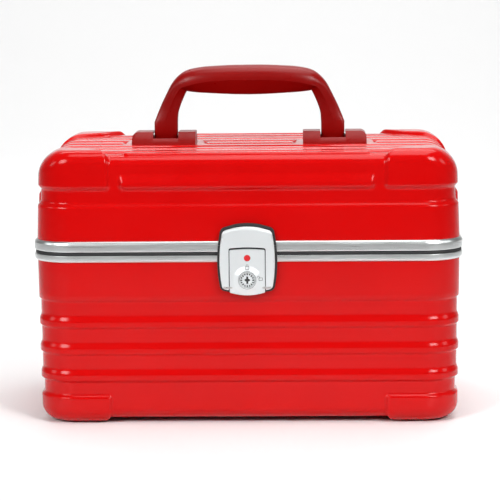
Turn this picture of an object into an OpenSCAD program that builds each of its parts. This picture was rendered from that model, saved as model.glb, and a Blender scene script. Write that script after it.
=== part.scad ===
// Hard-shell vanity case: two moulded shells in an aluminium frame, hinged at the rear, with a
// lever latch and key lock at the front and a folding handle on the lid.
// +X is to the right, -Y is the front, +Z is up. The origin is on the floor, under the middle.

/* [Shell] */
// Width of the moulded wall at the frame, side to side
shell_w = 340; // [320:1:360]
// Depth of the moulded wall at the frame, front to back
shell_d = 210; // [200:1:230]
// Radius of the upright corners
corner_r = 30; // [26:1:34]
// Thickness of the moulded wall
wall_t = 2.5; // [2:0.1:2.8]
// How far the corner bumpers stand out of the walls between them
bumper_depth = 2.4; // [1.6:0.1:2.8]
// Distance from the middle to each bumper's inner end, sideways
bumper_x = 108.8; // [100:0.2:120]
// Distance from the middle to each bumper's inner end, front to back
bumper_y = 56; // [50:1:64]

/* [Base] */
// Height of the joint between base and lid, which is also the hinge axis
joint_z = 138.6; // [138:0.1:142]
// Underside of the corner bumpers, which the feet stand out of
bumper_floor_z = 0.8; // [0.6:0.1:1.4]
// Underside of the base between the bumpers
floor_z = 3.8; // [3:0.1:5]
// Top of the lower bumpers
base_bumper_top_z = 24; // [22:0.1:27]
// Top edge of the uppermost groove round the base
groove_top_z = 101; // [98:0.1:102]
// Spacing of the grooves round the base
groove_pitch = 21.6; // [20.6:0.1:22]
// Depth of the grooves round the base
groove_depth = 1.5; // [1:0.1:1.8]
// Inward slope of the base wall towards the floor, in degrees
base_draft = 0.6; // [0.3:0.1:1]

/* [Lid] */
// Height of the upper corner bumpers
case_h = 220.4; // [218:0.1:224]
// Height of the lid's top between the bumpers
lid_top_z = 218; // [216:0.1:218.4]
// Lower edge of the groove round the lid
lid_groove_z = 178.4; // [176:0.1:179]
// Height of the groove round the lid
lid_groove_h = 10.3; // [9:0.1:11]
// Depth of the groove round the lid
lid_groove_depth = 2; // [1:0.1:2.2]
// Inward slope of the lid wall towards the top, in degrees
lid_draft = 2; // [1:0.1:2.4]
// Spacing of the grooves along the top
top_groove_pitch = 24; // [22:0.5:25]
// Depth of the grooves along the top
top_groove_depth = 1.6; // [1:0.1:1.8]

/* [Frame] */
// How far the frame stands out of the shell wall
frame_out = 2.3; // [2:0.1:2.6]
// Height of the frame's lower profile where it shows
base_band_h = 5.3; // [4.8:0.1:6]
// Height of the frame's upper profile where it shows
lid_band_h = 8.3; // [7.6:0.1:9]
// Height of the seal between the two profiles
seal_h = 3; // [2.8:0.1:3.2]

/* [Latch] */
// Half width of the latch's black surround at its widest
bezel_half_w = 23.8; // [23:0.1:25]
// Half width of the lever at its widest
lever_half_w = 21.9; // [21:0.1:22.4]
// Half width of the fixed lock plate
lock_half_w = 14; // [13:0.1:14.2]
// Height of the key cylinder's axis
key_z = 118.2; // [117:0.1:119]

/* [Handle] */
// Half the outer distance across the handle's legs
handle_half_w = 79.2; // [78.6:0.1:79.3]
// Height of the handle's top when it stands up
handle_top_z = 282.5; // [276:0.5:288]
// Width of the grip, front to back
grip_w = 26; // [22:0.5:28]
// Height of the axis the handle folds on
fold_z = 223.5; // [223.4:0.1:223.8]

/* [Hidden] */
$fn = 64;

// Where the walls, the frame and the corners lie
corner_x = shell_w / 2 - corner_r;
corner_y = shell_d / 2 - corner_r;
wall_y = shell_d / 2;
frame_y = wall_y + frame_out;
base_band_top_z = joint_z - seal_h / 2;
base_band_z = base_band_top_z - base_band_h;
lid_band_z = joint_z + seal_h / 2;
lid_band_top_z = lid_band_z + lid_band_h;
base_edge_z = base_band_z + 2.4;
lid_edge_z = lid_band_z + 3.4;
base_straight_z = base_band_z - 6.8;
frame_in = 4.2;
frame_slot_gap = 0.1;
frame_leg_t = frame_in - wall_t - frame_slot_gap;
lid_straight_z = lid_band_top_z + 1.6;

// Edge rounding
floor_edge_r = 14;
base_bumper_edge_r = 12;
top_edge_r = 9;
lid_bumper_edge_r = 11;
top_end_r = 19;
lid_bumper_end_r = 23;
arc_steps = 6;

// Lining
lining_gap = 5.2;
lining_low_gap = 6.6;
lining_low_z = [33, 37];
lining_edge = 10;
lining_t = 1.4;
lining_floor_z = floor_z + wall_t + 0.5;
lining_top_z = 210.9;
lid_roof_z = lid_top_z - 3.8;

// Hinges
hinge_x = 100;
hinge_w = 44;
hinge_leaf_t = 1.5;
knuckle_r = 3.2;
hinge_y = frame_y + 0.5 + knuckle_r;
hinge_pin_r = 1.5;
end_knuckle_w = 12;
knuckle_gap = 0.3;
hinge_relief_r = knuckle_r + 0.4;
hinge_rivet_dx = 13;

// Latch, from the frame outwards
latch_back_y = -frame_y - 0.3;
bezel_face_y = latch_back_y - 2;
lock_face_y = bezel_face_y - 2.6;
lock_dome_y = -(hinge_y + knuckle_r);
lever_back_y = bezel_face_y - 0.3;
lever_t = 3.1;
lever_end_r = lever_t / 2;
lever_axis_y = lever_back_y - lever_end_r;
bezel_z = 108;
bezel_side_top_z = 159;
bezel_top_z = 162.8;
bezel_split_z = 145.2;
bezel_wide_z = 133;
lever_z = 110.45;
lever_top_z = 160.5;
lever_axis_z = lever_z + lever_end_r;
lock_z = 105.8;
lock_top_z = 142.7;
plug_r = 6;
dome_r = 9;
cam_pocket_r = 9.5;
latch_screw_r = 1.5;
lock_screw_x = 10.5;
lock_screw_z = [109.8, 122.6];
bezel_screw_x = 13;
bezel_screw_z = 156;
hook_window = [18, 7];
hook_z = 151;

// Handle and its mounts
leg_x = 69.4;
leg_w = 2 * (handle_half_w - leg_x);
leg_half_t = 6.3;
leg_end_r = 5;
leg_inner_x = leg_x - leg_w / 2;
notch_x0 = 58.9;
notch_x1 = 79.9;
notch_z = 224;
pocket_half_y = 15;
mount_x0 = 44.5;
mount_x1 = 97.2;
mount_half_y = 18;
mount_top_half_y = 11;
mount_top_z = 227.8;
mount_end_r = 5;
handle_pin_r = 2.5;
handle_pin_grip = 4;
running_gap = 0.05;
handle_screw_r = 2;
handle_screw_x = [50, 90];
backplate_t = 1.5;

// Mirror in the lid
mirror_w = 190;
mirror_d = 116;
mirror_rim = 7;
mirror_frame_t = 3;

// Distance of a wall's outer line from a corner's axis, at a height
function base_line(z) = corner_r - max(0, base_straight_z - z) * tan(base_draft);
function lid_line(z) = corner_r - max(0, z - lid_straight_z) * tan(lid_draft);

// A quarter round from angle a0 to a0 + 90
function quarter(cx, cz, r, a0) = [
  for (i = [0:arc_steps]) [cx + r * cos(a0 + 90 * i / arc_steps), cz + r * sin(a0 + 90 * i / arc_steps)]
];

// One groove round the base, from its lower edge up: a long slope, the flat and a short step
function base_groove(top, inset) = [
  [base_line(top - 18.2) - inset, top - 18.2],
  [base_line(top - 12.8) - groove_depth - inset, top - 12.8],
  [base_line(top - 1.6) - groove_depth - inset, top - 1.6],
  [base_line(top) - inset, top]
];

// Outline of the base as a filled section, set in by a wall's thickness for its inside
function base_section(inset, top) = let (
  floor = floor_z + inset,
  edge = floor_edge_r - inset,
  low_top = groove_top_z - 3 * groove_pitch
) concat(
  [[0, floor]],
  quarter(base_line(floor + edge) - bumper_depth - inset - edge, floor + edge, edge, -90),
  [[base_line(low_top) - bumper_depth - inset, low_top - 2.2], [base_line(low_top) - inset, low_top]],
  [for (i = [2:-1:0]) each base_groove(groove_top_z - i * groove_pitch, inset)],
  [[corner_r - inset, base_straight_z], [corner_r - inset, top], [0, top]]
);

function base_bumper_section(inset) = let (
  floor = bumper_floor_z + inset,
  edge = base_bumper_edge_r - inset,
  top = base_bumper_top_z - inset
) concat(
  [[0, floor]],
  quarter(base_line(floor + edge) - inset - edge, floor + edge, edge, -90),
  [[base_line(top) - inset, top - bumper_depth], [base_line(top) - bumper_depth - inset, top], [0, top]]
);

// Outline of the lid as a filled section
function lid_section(inset, bottom, top) = let (
  groove_top = lid_groove_z + lid_groove_h,
  edge = top_edge_r - inset,
  face = lid_line(top - edge) - bumper_depth - inset
) concat(
  [
    [0, bottom],
    [corner_r - inset, bottom],
    [corner_r - inset, lid_straight_z],
    [lid_line(lid_groove_z) - inset, lid_groove_z - 2.8],
    [lid_line(lid_groove_z) - lid_groove_depth - inset, lid_groove_z],
    [lid_line(groove_top) - lid_groove_depth - inset, groove_top],
    [lid_line(groove_top) - inset, groove_top + 2.6],
    [lid_line(groove_top) - inset, groove_top + 7],
    [face, groove_top + 10]
  ],
  quarter(face - edge, top - edge, edge, 0),
  [[0, top]]
);

function lid_bumper_section(inset) = let (
  bottom = lid_groove_z + lid_groove_h + inset,
  top = case_h - inset,
  edge = lid_bumper_edge_r - inset
) concat(
  [
    [0, bottom],
    [lid_line(bottom) - lid_groove_depth - inset, bottom],
    [lid_line(bottom) - inset, bottom + 2.6]
  ],
  quarter(lid_line(top - edge) - inset - edge, top - edge, edge, 0),
  [[0, top]]
);

// Space under the lid's outline seen from the front, whose ends are rounder than its front and rear
module between_ends(top, end_r, inset) {
  z = top - end_r;
  half = corner_x + lid_line(z) - inset;
  arc = quarter(half - end_r, z, end_r, 0);
  left = [for (i = [arc_steps:-1:0]) [-arc[i][0], arc[i][1]]];
  rotate([90, 0, 0])
    linear_extrude(shell_d + 10, center = true)
      polygon(concat([[-shell_w, 0], [shell_w, 0], [shell_w, z]], arc, left, [[-shell_w, z]]));
}

// A section swept round the case's rounded rectangle and filled across the middle
module case_solid(section, z0, z1) {
  for (i = [0:3]) {
    sx = (i == 0 || i == 3) ? 1 : -1;
    sy = (i < 2) ? 1 : -1;
    translate([sx * corner_x, sy * corner_y, 0])
      rotate([0, 0, 90 * i])
        rotate_extrude(angle = 90) polygon(section);
  }
  for (side = [0, 180])
    rotate([0, 0, side]) {
      translate([0, corner_y, 0])
        rotate([90, 0, 90]) linear_extrude(2 * corner_x, center = true) polygon(section);
      translate([corner_x, 0, 0])
        rotate([90, 0, 0]) linear_extrude(2 * corner_y, center = true) polygon(section);
    }
  translate([-corner_x, -corner_y, z0]) cube([2 * corner_x, 2 * corner_y, z1 - z0]);
}

// The same section kept to the four corners
module bumper_solids(section, z0, z1) {
  run_x = corner_x - bumper_x;
  run_y = corner_y - bumper_y;
  for (mx = [0, 1], my = [0, 1])
    mirror([mx, 0, 0]) mirror([0, my, 0]) {
      translate([corner_x, corner_y, 0]) rotate_extrude(angle = 90) polygon(section);
      translate([bumper_x + run_x / 2, corner_y, 0])
        rotate([90, 0, 90]) linear_extrude(run_x, center = true) polygon(section);
      translate([corner_x, bumper_y + run_y / 2, 0])
        rotate([90, 0, 0]) linear_extrude(run_y, center = true) polygon(section);
      translate([bumper_x, bumper_y, z0]) cube([run_x, run_y, z1 - z0]);
    }
}

// A closed ring of constant section round the case
module ring(section) {
  for (i = [0:3]) {
    sx = (i == 0 || i == 3) ? 1 : -1;
    sy = (i < 2) ? 1 : -1;
    translate([sx * corner_x, sy * corner_y, 0])
      rotate([0, 0, 90 * i])
        rotate_extrude(angle = 90) polygon(section);
  }
  for (side = [0, 180])
    rotate([0, 0, side]) {
      translate([0, corner_y, 0])
        rotate([90, 0, 90]) linear_extrude(2 * corner_x, center = true) polygon(section);
      translate([corner_x, 0, 0])
        rotate([90, 0, 0]) linear_extrude(2 * corner_y, center = true) polygon(section);
    }
}

// A cylinder along Y from y0 to y1
module rod_y(x, z, r, y0, y1) {
  translate([x, max(y0, y1), z]) rotate([90, 0, 0]) cylinder(r = r, h = abs(y1 - y0));
}

// A cylinder along X from x0 to x1
module rod_x(y, z, r, x0, x1) {
  translate([min(x0, x1), y, z]) rotate([0, 90, 0]) cylinder(r = r, h = abs(x1 - x0));
}

// A flat outline in X and Z, thickened from y0 to y1
module slab_y(y0, y1) {
  translate([0, max(y0, y1), 0]) rotate([90, 0, 0]) linear_extrude(abs(y1 - y0)) children();
}

// Positions shared by holes and the fasteners in them
module at_hinge_rivets(z) {
  for (sx = [-1, 1], dx = [-hinge_rivet_dx, hinge_rivet_dx])
    translate([sx * hinge_x + dx, 0, z]) children();
}

module at_handle_screws() {
  for (sx = [-1, 1], x = handle_screw_x)
    translate([sx * x, 0, 0]) children();
}

module at_feet() {
  for (sx = [-1, 1], sy = [-1, 1])
    translate([sx * corner_x, sy * corner_y, 0]) children();
}

module frame_rivet_places() {
  rivet_inner_y = wall_y - frame_in;
  for (side = [0, 180], x = [-120, -60, 60, 120])
    rotate([0, 0, side]) translate([x, rivet_inner_y, 0]) children();
}

foot_r = 9;
foot_recess = 1.2;
foot_gap = 0.2;
hinge_rivet_r = 1.6;
hinge_base_rivet_z = base_band_z - 10;
hinge_lid_rivet_z = lid_band_top_z + 10;

module base_shell() {
  color("#d01010")
    difference() {
      union() {
        case_solid(base_section(0, base_edge_z), floor_z, base_edge_z);
        bumper_solids(base_bumper_section(0), bumper_floor_z, base_bumper_top_z);
      }
      case_solid(base_section(wall_t, base_edge_z + 1), floor_z + wall_t, base_edge_z + 1);
      bumper_solids(
        base_bumper_section(wall_t), bumper_floor_z + wall_t, base_bumper_top_z - wall_t);
      at_feet() cylinder(r = foot_r + foot_gap, h = bumper_floor_z + foot_recess);
      for (x = [-lock_screw_x, lock_screw_x], z = lock_screw_z)
        rod_y(x, z, latch_screw_r, -wall_y - 1, -wall_y + wall_t + 4);
      at_hinge_rivets(hinge_base_rivet_z) rod_y(0, 0, hinge_rivet_r, wall_y - wall_t - 4, wall_y + 1);
    }
}

// The wall's edge sits in the slot between the frame's outer and inner legs
base_frame_section = [
  [corner_r + frame_slot_gap, base_band_z],
  [corner_r + frame_out - 1, base_band_z],
  [corner_r + frame_out, base_band_z + 1.4],
  [corner_r + frame_out, base_band_top_z],
  [corner_r - frame_in, base_band_top_z],
  [corner_r - frame_in, base_straight_z + 1],
  [corner_r - wall_t - frame_slot_gap, base_straight_z + 1],
  [corner_r - wall_t - frame_slot_gap, base_edge_z],
  [corner_r + frame_slot_gap, base_edge_z]
];

base_rivet_z = base_band_z - 1.8;
lid_rivet_z = lid_band_top_z - 1;
frame_rivet_r = 1.2;
frame_rivet_head_r = 2.6;
frame_rivet_head_h = 0.8;

module base_frame() {
  color("#c9ccd0")
    difference() {
      ring(base_frame_section);
      frame_rivet_places() rod_y(0, base_rivet_z, frame_rivet_r, -1, frame_leg_t);
    }
}

module frame_seal() {
  color("#101010")
    ring([
      [corner_r - 1.8, base_band_top_z],
      [corner_r + frame_out - 0.9, base_band_top_z],
      [corner_r + frame_out - 0.9, lid_band_z - 0.3],
      [corner_r - 1.8, lid_band_z - 0.3]
    ]);
}

base_lining_top_z = base_straight_z + 0.4;
lid_lining_bottom_z = lid_straight_z + 0.6;

// Section of the base lining, which steps in behind the recessed lower wall
function base_lining_section(inset, top) = let (
  low = corner_r - lining_low_gap - inset,
  high = corner_r - lining_gap - inset,
  floor = lining_floor_z + inset
) [
  [0, floor],
  [low - lining_edge, floor],
  [low, floor + lining_edge],
  [low, lining_low_z[0]],
  [high, lining_low_z[1]],
  [high, top],
  [0, top]
];

module base_lining() {
  color("#2a2a2e")
    difference() {
      case_solid(base_lining_section(0, base_lining_top_z), lining_floor_z, base_lining_top_z);
      case_solid(
        base_lining_section(lining_t, base_lining_top_z + 1),
        lining_floor_z + lining_t, base_lining_top_z + 1);
    }
}

module feet() {
  color("#181818") at_feet() cylinder(r = foot_r, h = bumper_floor_z + foot_recess);
}

splice_half_w = 22;
splice_t = 1;

module base_splice() {
  color("#9a9da2")
    translate([-splice_half_w, wall_y - frame_in - splice_t, base_straight_z + 2])
      cube([2 * splice_half_w, splice_t, base_band_top_z - base_straight_z - 3]);
}

module lid_splice() {
  color("#9a9da2")
    translate([-splice_half_w, wall_y - frame_in - splice_t, lid_band_z + 1])
      cube([2 * splice_half_w, splice_t, lid_straight_z - lid_band_z - 2]);
}

// A rivet with its flat head inside and its shank through the frame's inner leg
module frame_rivet(z) {
  rod_y(0, z, frame_rivet_r, 0, frame_leg_t);
  rod_y(0, z, frame_rivet_head_r, -frame_rivet_head_h, 0);
}

module base_rivets() {
  color("#b5b8bc") frame_rivet_places() frame_rivet(base_rivet_z);
}

module lid_rivets() {
  color("#b5b8bc") frame_rivet_places() frame_rivet(lid_rivet_z);
}

// Leaf of a hinge as a section in Y and Z: a pad on the shell, stepped out over the frame
module leaf_section(pad_z, band_z, end_z, wall_gap) {
  polygon([
    [wall_y + wall_gap, pad_z],
    [frame_y + hinge_leaf_t, pad_z],
    [frame_y + hinge_leaf_t, end_z],
    [frame_y, end_z],
    [frame_y, band_z],
    [wall_y + wall_gap, band_z]
  ]);
}

module along_x(x0, x1) {
  translate([x0, 0, 0]) rotate([90, 0, 90]) linear_extrude(x1 - x0) children();
}

module hinge_base() {
  half = hinge_w / 2;
  difference() {
    union() {
      along_x(-half, half)
        leaf_section(base_band_z - 18, base_band_z - 0.1, joint_z - 0.6, 0.1);
      for (x0 = [-half, half - end_knuckle_w]) {
        rod_x(hinge_y, joint_z, knuckle_r, x0, x0 + end_knuckle_w);
        translate([x0, frame_y, base_band_top_z - 2])
          cube([end_knuckle_w, hinge_y - frame_y, joint_z - base_band_top_z + 2]);
      }
    }
    rod_x(hinge_y, joint_z, hinge_relief_r, -half + end_knuckle_w, half - end_knuckle_w);
    rod_x(hinge_y, joint_z, hinge_pin_r, -half - 1, half + 1);
    for (dx = [-hinge_rivet_dx, hinge_rivet_dx])
      rod_y(dx, hinge_base_rivet_z, hinge_rivet_r, wall_y - 1, frame_y + 3);
  }
}

module hinge_lid() {
  half = hinge_w / 2;
  mid = half - end_knuckle_w - knuckle_gap;
  difference() {
    union() {
      difference() {
        along_x(-half, half)
          leaf_section(lid_band_top_z + 18, lid_band_top_z + 0.1, joint_z + 1.2, 0.1);
        for (x0 = [-half - 1, half - end_knuckle_w - knuckle_gap])
          rod_x(hinge_y, joint_z, hinge_relief_r, x0, x0 + end_knuckle_w + knuckle_gap + 1);
      }
      rod_x(hinge_y, joint_z, knuckle_r, -mid, mid);
      translate([-mid, frame_y + 0.2, joint_z + 1.6]) cube([2 * mid, hinge_y - frame_y - 0.2, 1.6]);
    }
    rod_x(hinge_y, joint_z, hinge_pin_r + running_gap, -half - 1, half + 1);
    for (dx = [-hinge_rivet_dx, hinge_rivet_dx])
      rod_y(dx, hinge_lid_rivet_z, hinge_rivet_r, wall_y - 1, frame_y + 3);
  }
}

module hinge_base_left() {
  color("#c2c5c9") translate([-hinge_x, 0, 0]) hinge_base();
}

module hinge_base_right() {
  color("#c2c5c9") translate([hinge_x, 0, 0]) hinge_base();
}

module hinge_lid_left() {
  color("#c2c5c9") translate([-hinge_x, 0, 0]) hinge_lid();
}

module hinge_lid_right() {
  color("#c2c5c9") translate([hinge_x, 0, 0]) hinge_lid();
}

module hinge_pins() {
  color("#8f9296")
    for (sx = [-1, 1])
      rod_x(hinge_y, joint_z, hinge_pin_r, sx * hinge_x - hinge_w / 2, sx * hinge_x + hinge_w / 2);
}

// Rivets through a hinge leaf and the shell, with a low head on each side
module hinge_rivet(inner_y) {
  leaf_face_y = frame_y + hinge_leaf_t;
  rod_y(0, 0, hinge_rivet_r, inner_y, leaf_face_y);
  rod_y(0, 0, 3, inner_y - 1, inner_y);
  intersection() {
    rod_y(0, 0, 3, leaf_face_y, leaf_face_y + 1.2);
    translate([0, leaf_face_y - 3.2, 0]) sphere(r = 4.4);
  }
}

module hinge_rivets_base() {
  color("#a8abb0") at_hinge_rivets(hinge_base_rivet_z) hinge_rivet(wall_y - wall_t - 0.2);
}

module hinge_rivets_lid() {
  color("#a8abb0") at_hinge_rivets(hinge_lid_rivet_z) hinge_rivet(wall_y - wall_t - 0.6);
}

// Barrel-sided outline of the latch: widest at bezel_wide_z, with an arched top
function barrel(half_w, z) = half_w - 3 * pow((z - bezel_wide_z) / 27, 2);

module latch_outline(half_w, bottom, side_top, top) {
  side_steps = 8;
  arch_steps = 8;
  side = [for (i = [0:side_steps]) let (z = bottom + (side_top - bottom) * i / side_steps)
    [barrel(half_w, z), z]];
  end_w = barrel(half_w, side_top);
  arch = [for (i = [1:arch_steps - 1]) let (x = end_w * (1 - 2 * i / arch_steps))
    [x, side_top + (top - side_top) * (1 - pow(x / end_w, 2))]];
  left = [for (i = [side_steps:-1:0]) [-side[i][0], side[i][1]]];
  polygon(concat(side, arch, left));
}

module bezel_outline() {
  latch_outline(bezel_half_w, bezel_z, bezel_side_top_z, bezel_top_z);
}

module lever_outline() {
  difference() {
    latch_outline(lever_half_w, lever_z, lever_top_z - 3, lever_top_z);
    translate([-lock_half_w - 0.6, lever_z - 10])
      square([2 * lock_half_w + 1.2, lock_top_z + 1.5 - lever_z + 10]);
  }
}

module latch_bezel_lower() {
  color("#151515")
    difference() {
      union() {
        slab_y(latch_back_y, bezel_face_y)
          intersection() {
            bezel_outline();
            translate([-40, 0]) square([80, bezel_split_z]);
          }
        slab_y(-wall_y - 0.1, latch_back_y)
          intersection() {
            bezel_outline();
            translate([-40, 0]) square([80, base_band_z - 0.2]);
          }
      }
      rod_y(0, key_z, cam_pocket_r, latch_back_y + 0.6, bezel_face_y - 1);
      for (x = [-lock_screw_x, lock_screw_x], z = lock_screw_z)
        rod_y(x, z, latch_screw_r, -wall_y + 1, bezel_face_y - 1);
    }
}

module latch_bezel_upper() {
  color("#151515")
    difference() {
      union() {
        slab_y(latch_back_y, bezel_face_y)
          intersection() {
            bezel_outline();
            translate([-40, bezel_split_z + 0.3]) square([80, 40]);
          }
        slab_y(-wall_y - 0.1, latch_back_y)
          intersection() {
            bezel_outline();
            translate([-40, lid_band_top_z + 0.2]) square([80, bezel_side_top_z - lid_band_top_z]);
          }
      }
      translate([-hook_window[0] / 2, bezel_face_y - 1, hook_z - hook_window[1] / 2])
        cube([hook_window[0], 1 + latch_back_y - bezel_face_y, hook_window[1]]);
      for (x = [-bezel_screw_x, bezel_screw_x])
        rod_y(x, bezel_screw_z, latch_screw_r, -wall_y + 1, latch_back_y - 1);
    }
}

// Striker bar on the lid that the lever's hook draws down on
module latch_keeper() {
  color("#b9bcc0")
    translate([-8, latch_back_y - 1.5, hook_z - 3.2]) cube([16, 1.5, 3]);
}

lock_plate_rear_y = bezel_face_y;

// Outline of the lock plate, bowed at its lower edge and slightly at its upper one
module lock_outline() {
  steps = 10;
  bow = [for (i = [0:steps]) let (x = lock_half_w * (2 * i / steps - 1)) [x, pow(x / lock_half_w, 2)]];
  polygon(concat(
    [for (p = bow) [p[0], lock_z + 2.2 * p[1]]],
    [for (i = [steps:-1:0]) [bow[i][0], lock_top_z - 0.8 * bow[i][1]]]
  ));
}

module lock_plate() {
  color("#c6c9cd")
    difference() {
      union() {
        slab_y(lock_plate_rear_y, lock_face_y)
          lock_outline();
        rod_y(0, key_z, dome_r, lock_face_y, lock_dome_y);
      }
      rod_y(0, key_z, plug_r + running_gap, lock_dome_y - 1, lock_plate_rear_y + 1);
      for (x = [-lock_screw_x, lock_screw_x], z = lock_screw_z)
        rod_y(x, z, latch_screw_r, lock_plate_rear_y + 1, lock_plate_rear_y - 1.2);
      for (sx = [-1, 1])
        rod_x(lever_axis_y, lever_axis_z, 0.9, sx * (lock_half_w - 2), sx * (lock_half_w + 1));
      rod_y(0, 135.6, 2.6, lock_face_y - 1, lock_face_y + 0.6);
    }
}

module lock_indicator() {
  color("#c01010") rod_y(0, 135.6, 2.6, lock_face_y - 0.1, lock_face_y + 0.6);
}

module lever_pins() {
  color("#7d8084")
    for (sx = [-1, 1])
      rod_x(lever_axis_y, lever_axis_z, 0.9, sx * (lock_half_w - 2), sx * 19);
}

module lever_springs() {
  color("#6f7276")
    for (sx = [-1, 1])
      translate([sx * 17.5 - 2, bezel_face_y - 0.2, lever_axis_z + 2]) cube([4, 0.2, 16]);
}

module lock_screws() {
  color("#7d8084")
    for (x = [-lock_screw_x, lock_screw_x], z = lock_screw_z) {
      rod_y(x, z, latch_screw_r, -wall_y + wall_t + 0.2, lock_plate_rear_y - 1.2);
      rod_y(x, z, 2.8, -wall_y + wall_t + 0.2, -wall_y + wall_t + 1.4);
    }
}

module bezel_screws() {
  color("#7d8084")
    for (x = [-bezel_screw_x, bezel_screw_x]) {
      rod_y(x, bezel_screw_z, latch_screw_r, -wall_y + wall_t + 0.6, latch_back_y - 1);
      rod_y(x, bezel_screw_z, 2.8, -wall_y + wall_t + 0.6, -wall_y + wall_t + 1.8);
    }
}

module latch_lever() {
  color("#d3d6da")
    difference() {
      intersection() {
        slab_y(lever_back_y, lever_back_y - lever_t) lever_outline();
        along_x(-30, 30)
          union() {
            translate([lever_axis_y, lever_axis_z]) circle(r = lever_end_r);
            translate([lever_back_y - lever_t, lever_axis_z]) square([lever_t, 60]);
          }
      }
      for (sx = [-1, 1])
        rod_x(lever_axis_y, lever_axis_z, 0.9 + running_gap, sx * lock_half_w, sx * 19.1);
    }
}

// Spring-steel hook behind the lever's head
module lever_hook() {
  color("#8f9296")
    translate([-7, lever_back_y, hook_z]) cube([14, 0.4, 2.4]);
}

module key_plug() {
  color("#b4b7bb")
    difference() {
      rod_y(0, key_z, plug_r, lock_dome_y + 0.4, bezel_face_y + 0.6);
      translate([-0.8, lock_dome_y - 1, key_z - 3.6]) cube([1.6, 3.4, 7.2]);
    }
}

module lock_cam() {
  color("#8f9296")
    translate([-2.5, bezel_face_y + 0.6, key_z - 3]) cube([5, 0.9, 11]);
}

lid_roof_end_r = 15.5;
lid_end_pad_half_y = 70;

// The groove round the lid stops short of the middle of each end, which is full there
module lid_end_pads() {
  pad_in = lid_groove_depth + 0.5;
  z0 = lid_groove_z - 2.8;
  z1 = lid_groove_z + lid_groove_h + 2.6;
  for (mx = [0, 1])
    mirror([mx, 0, 0])
      translate([corner_x, 0, 0])
        rotate([90, 0, 0])
          linear_extrude(2 * lid_end_pad_half_y, center = true)
            polygon([
              [lid_line(z0) - pad_in, z0], [lid_line(z0), z0],
              [lid_line(z1), z1], [lid_line(z1) - pad_in, z1]
            ]);
}

module lid_shell() {
  color("#d01010")
    difference() {
      union() {
        intersection() {
          case_solid(lid_section(0, lid_edge_z, lid_top_z), lid_edge_z, lid_top_z);
          between_ends(lid_top_z, top_end_r, bumper_depth);
        }
        intersection() {
          bumper_solids(lid_bumper_section(0), lid_groove_z + lid_groove_h, case_h);
          between_ends(case_h, lid_bumper_end_r, 0);
        }
        lid_end_pads();
      }
      intersection() {
        case_solid(lid_section(wall_t, lid_edge_z - 1, lid_roof_z), lid_edge_z - 1, lid_roof_z);
        between_ends(lid_roof_z, lid_roof_end_r, bumper_depth + wall_t);
      }
      intersection() {
        bumper_solids(
          lid_bumper_section(wall_t), lid_groove_z + lid_groove_h + wall_t, case_h - wall_t);
        between_ends(case_h - wall_t, lid_bumper_end_r - wall_t, wall_t);
      }
      top_grooves();
      at_handle_screws() translate([0, 0, lid_roof_z - 1]) cylinder(r = handle_screw_r, h = 6);
      for (x = [-bezel_screw_x, bezel_screw_x])
        rod_y(x, bezel_screw_z, latch_screw_r, -wall_y - 1, -wall_y + wall_t + 4);
      at_hinge_rivets(hinge_lid_rivet_z) rod_y(0, 0, hinge_rivet_r, wall_y - wall_t - 4, wall_y + 1);
    }
}

// Round-ended grooves along the top, the middle pair interrupted where the handle stands
module top_grooves() {
  half_w = 3;
  depth = top_groove_depth;
  for (sy = [-1, 1], i = [0:3]) {
    y = sy * (i + 0.5) * top_groove_pitch;
    runs = i == 0 ? [[-148, -mount_x1 - 8], [-mount_x0 + 8, mount_x0 - 8], [mount_x1 + 8, 148]]
      : i == 1 ? [[-148, 148]] : [[-bumper_x + 6 + i, bumper_x - 6 - i]];
    for (run = runs) {
      translate([run[0], y - half_w, lid_top_z - depth]) cube([run[1] - run[0], 2 * half_w, depth + 1]);
      for (x = run)
        translate([x, y, lid_top_z - depth]) cylinder(r = half_w, h = depth + 1);
    }
  }
}

lid_frame_section = [
  [corner_r - frame_in, lid_band_z],
  [corner_r + frame_out, lid_band_z],
  [corner_r + frame_out, lid_band_top_z - 2],
  [corner_r + frame_out - 1.2, lid_band_top_z],
  [corner_r + frame_slot_gap, lid_band_top_z],
  [corner_r + frame_slot_gap, lid_edge_z],
  [corner_r - wall_t - frame_slot_gap, lid_edge_z],
  [corner_r - wall_t - frame_slot_gap, lid_straight_z],
  [corner_r - frame_in, lid_straight_z]
];

module lid_frame() {
  color("#c9ccd0")
    difference() {
      ring(lid_frame_section);
      frame_rivet_places() rod_y(0, lid_rivet_z, frame_rivet_r, -1, frame_leg_t);
    }
}

module lid_lining() {
  inset = lining_gap + 1.2;
  slope = 12;
  outer = [
    [0, lid_lining_bottom_z],
    [corner_r - lining_gap, lid_lining_bottom_z],
    [corner_r - inset - 2, lining_top_z - slope],
    [corner_r - inset - slope, lining_top_z],
    [0, lining_top_z]
  ];
  inner = [
    [0, lid_lining_bottom_z - 1],
    [corner_r - lining_gap - lining_t, lid_lining_bottom_z - 1],
    [corner_r - inset - 2 - lining_t, lining_top_z - lining_t - slope],
    [corner_r - inset - slope - lining_t, lining_top_z - lining_t],
    [0, lining_top_z - lining_t]
  ];
  color("#2a2a2e")
    difference() {
      case_solid(outer, lid_lining_bottom_z, lining_top_z);
      case_solid(inner, lid_lining_bottom_z - 1, lining_top_z - lining_t);
    }
}

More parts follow.
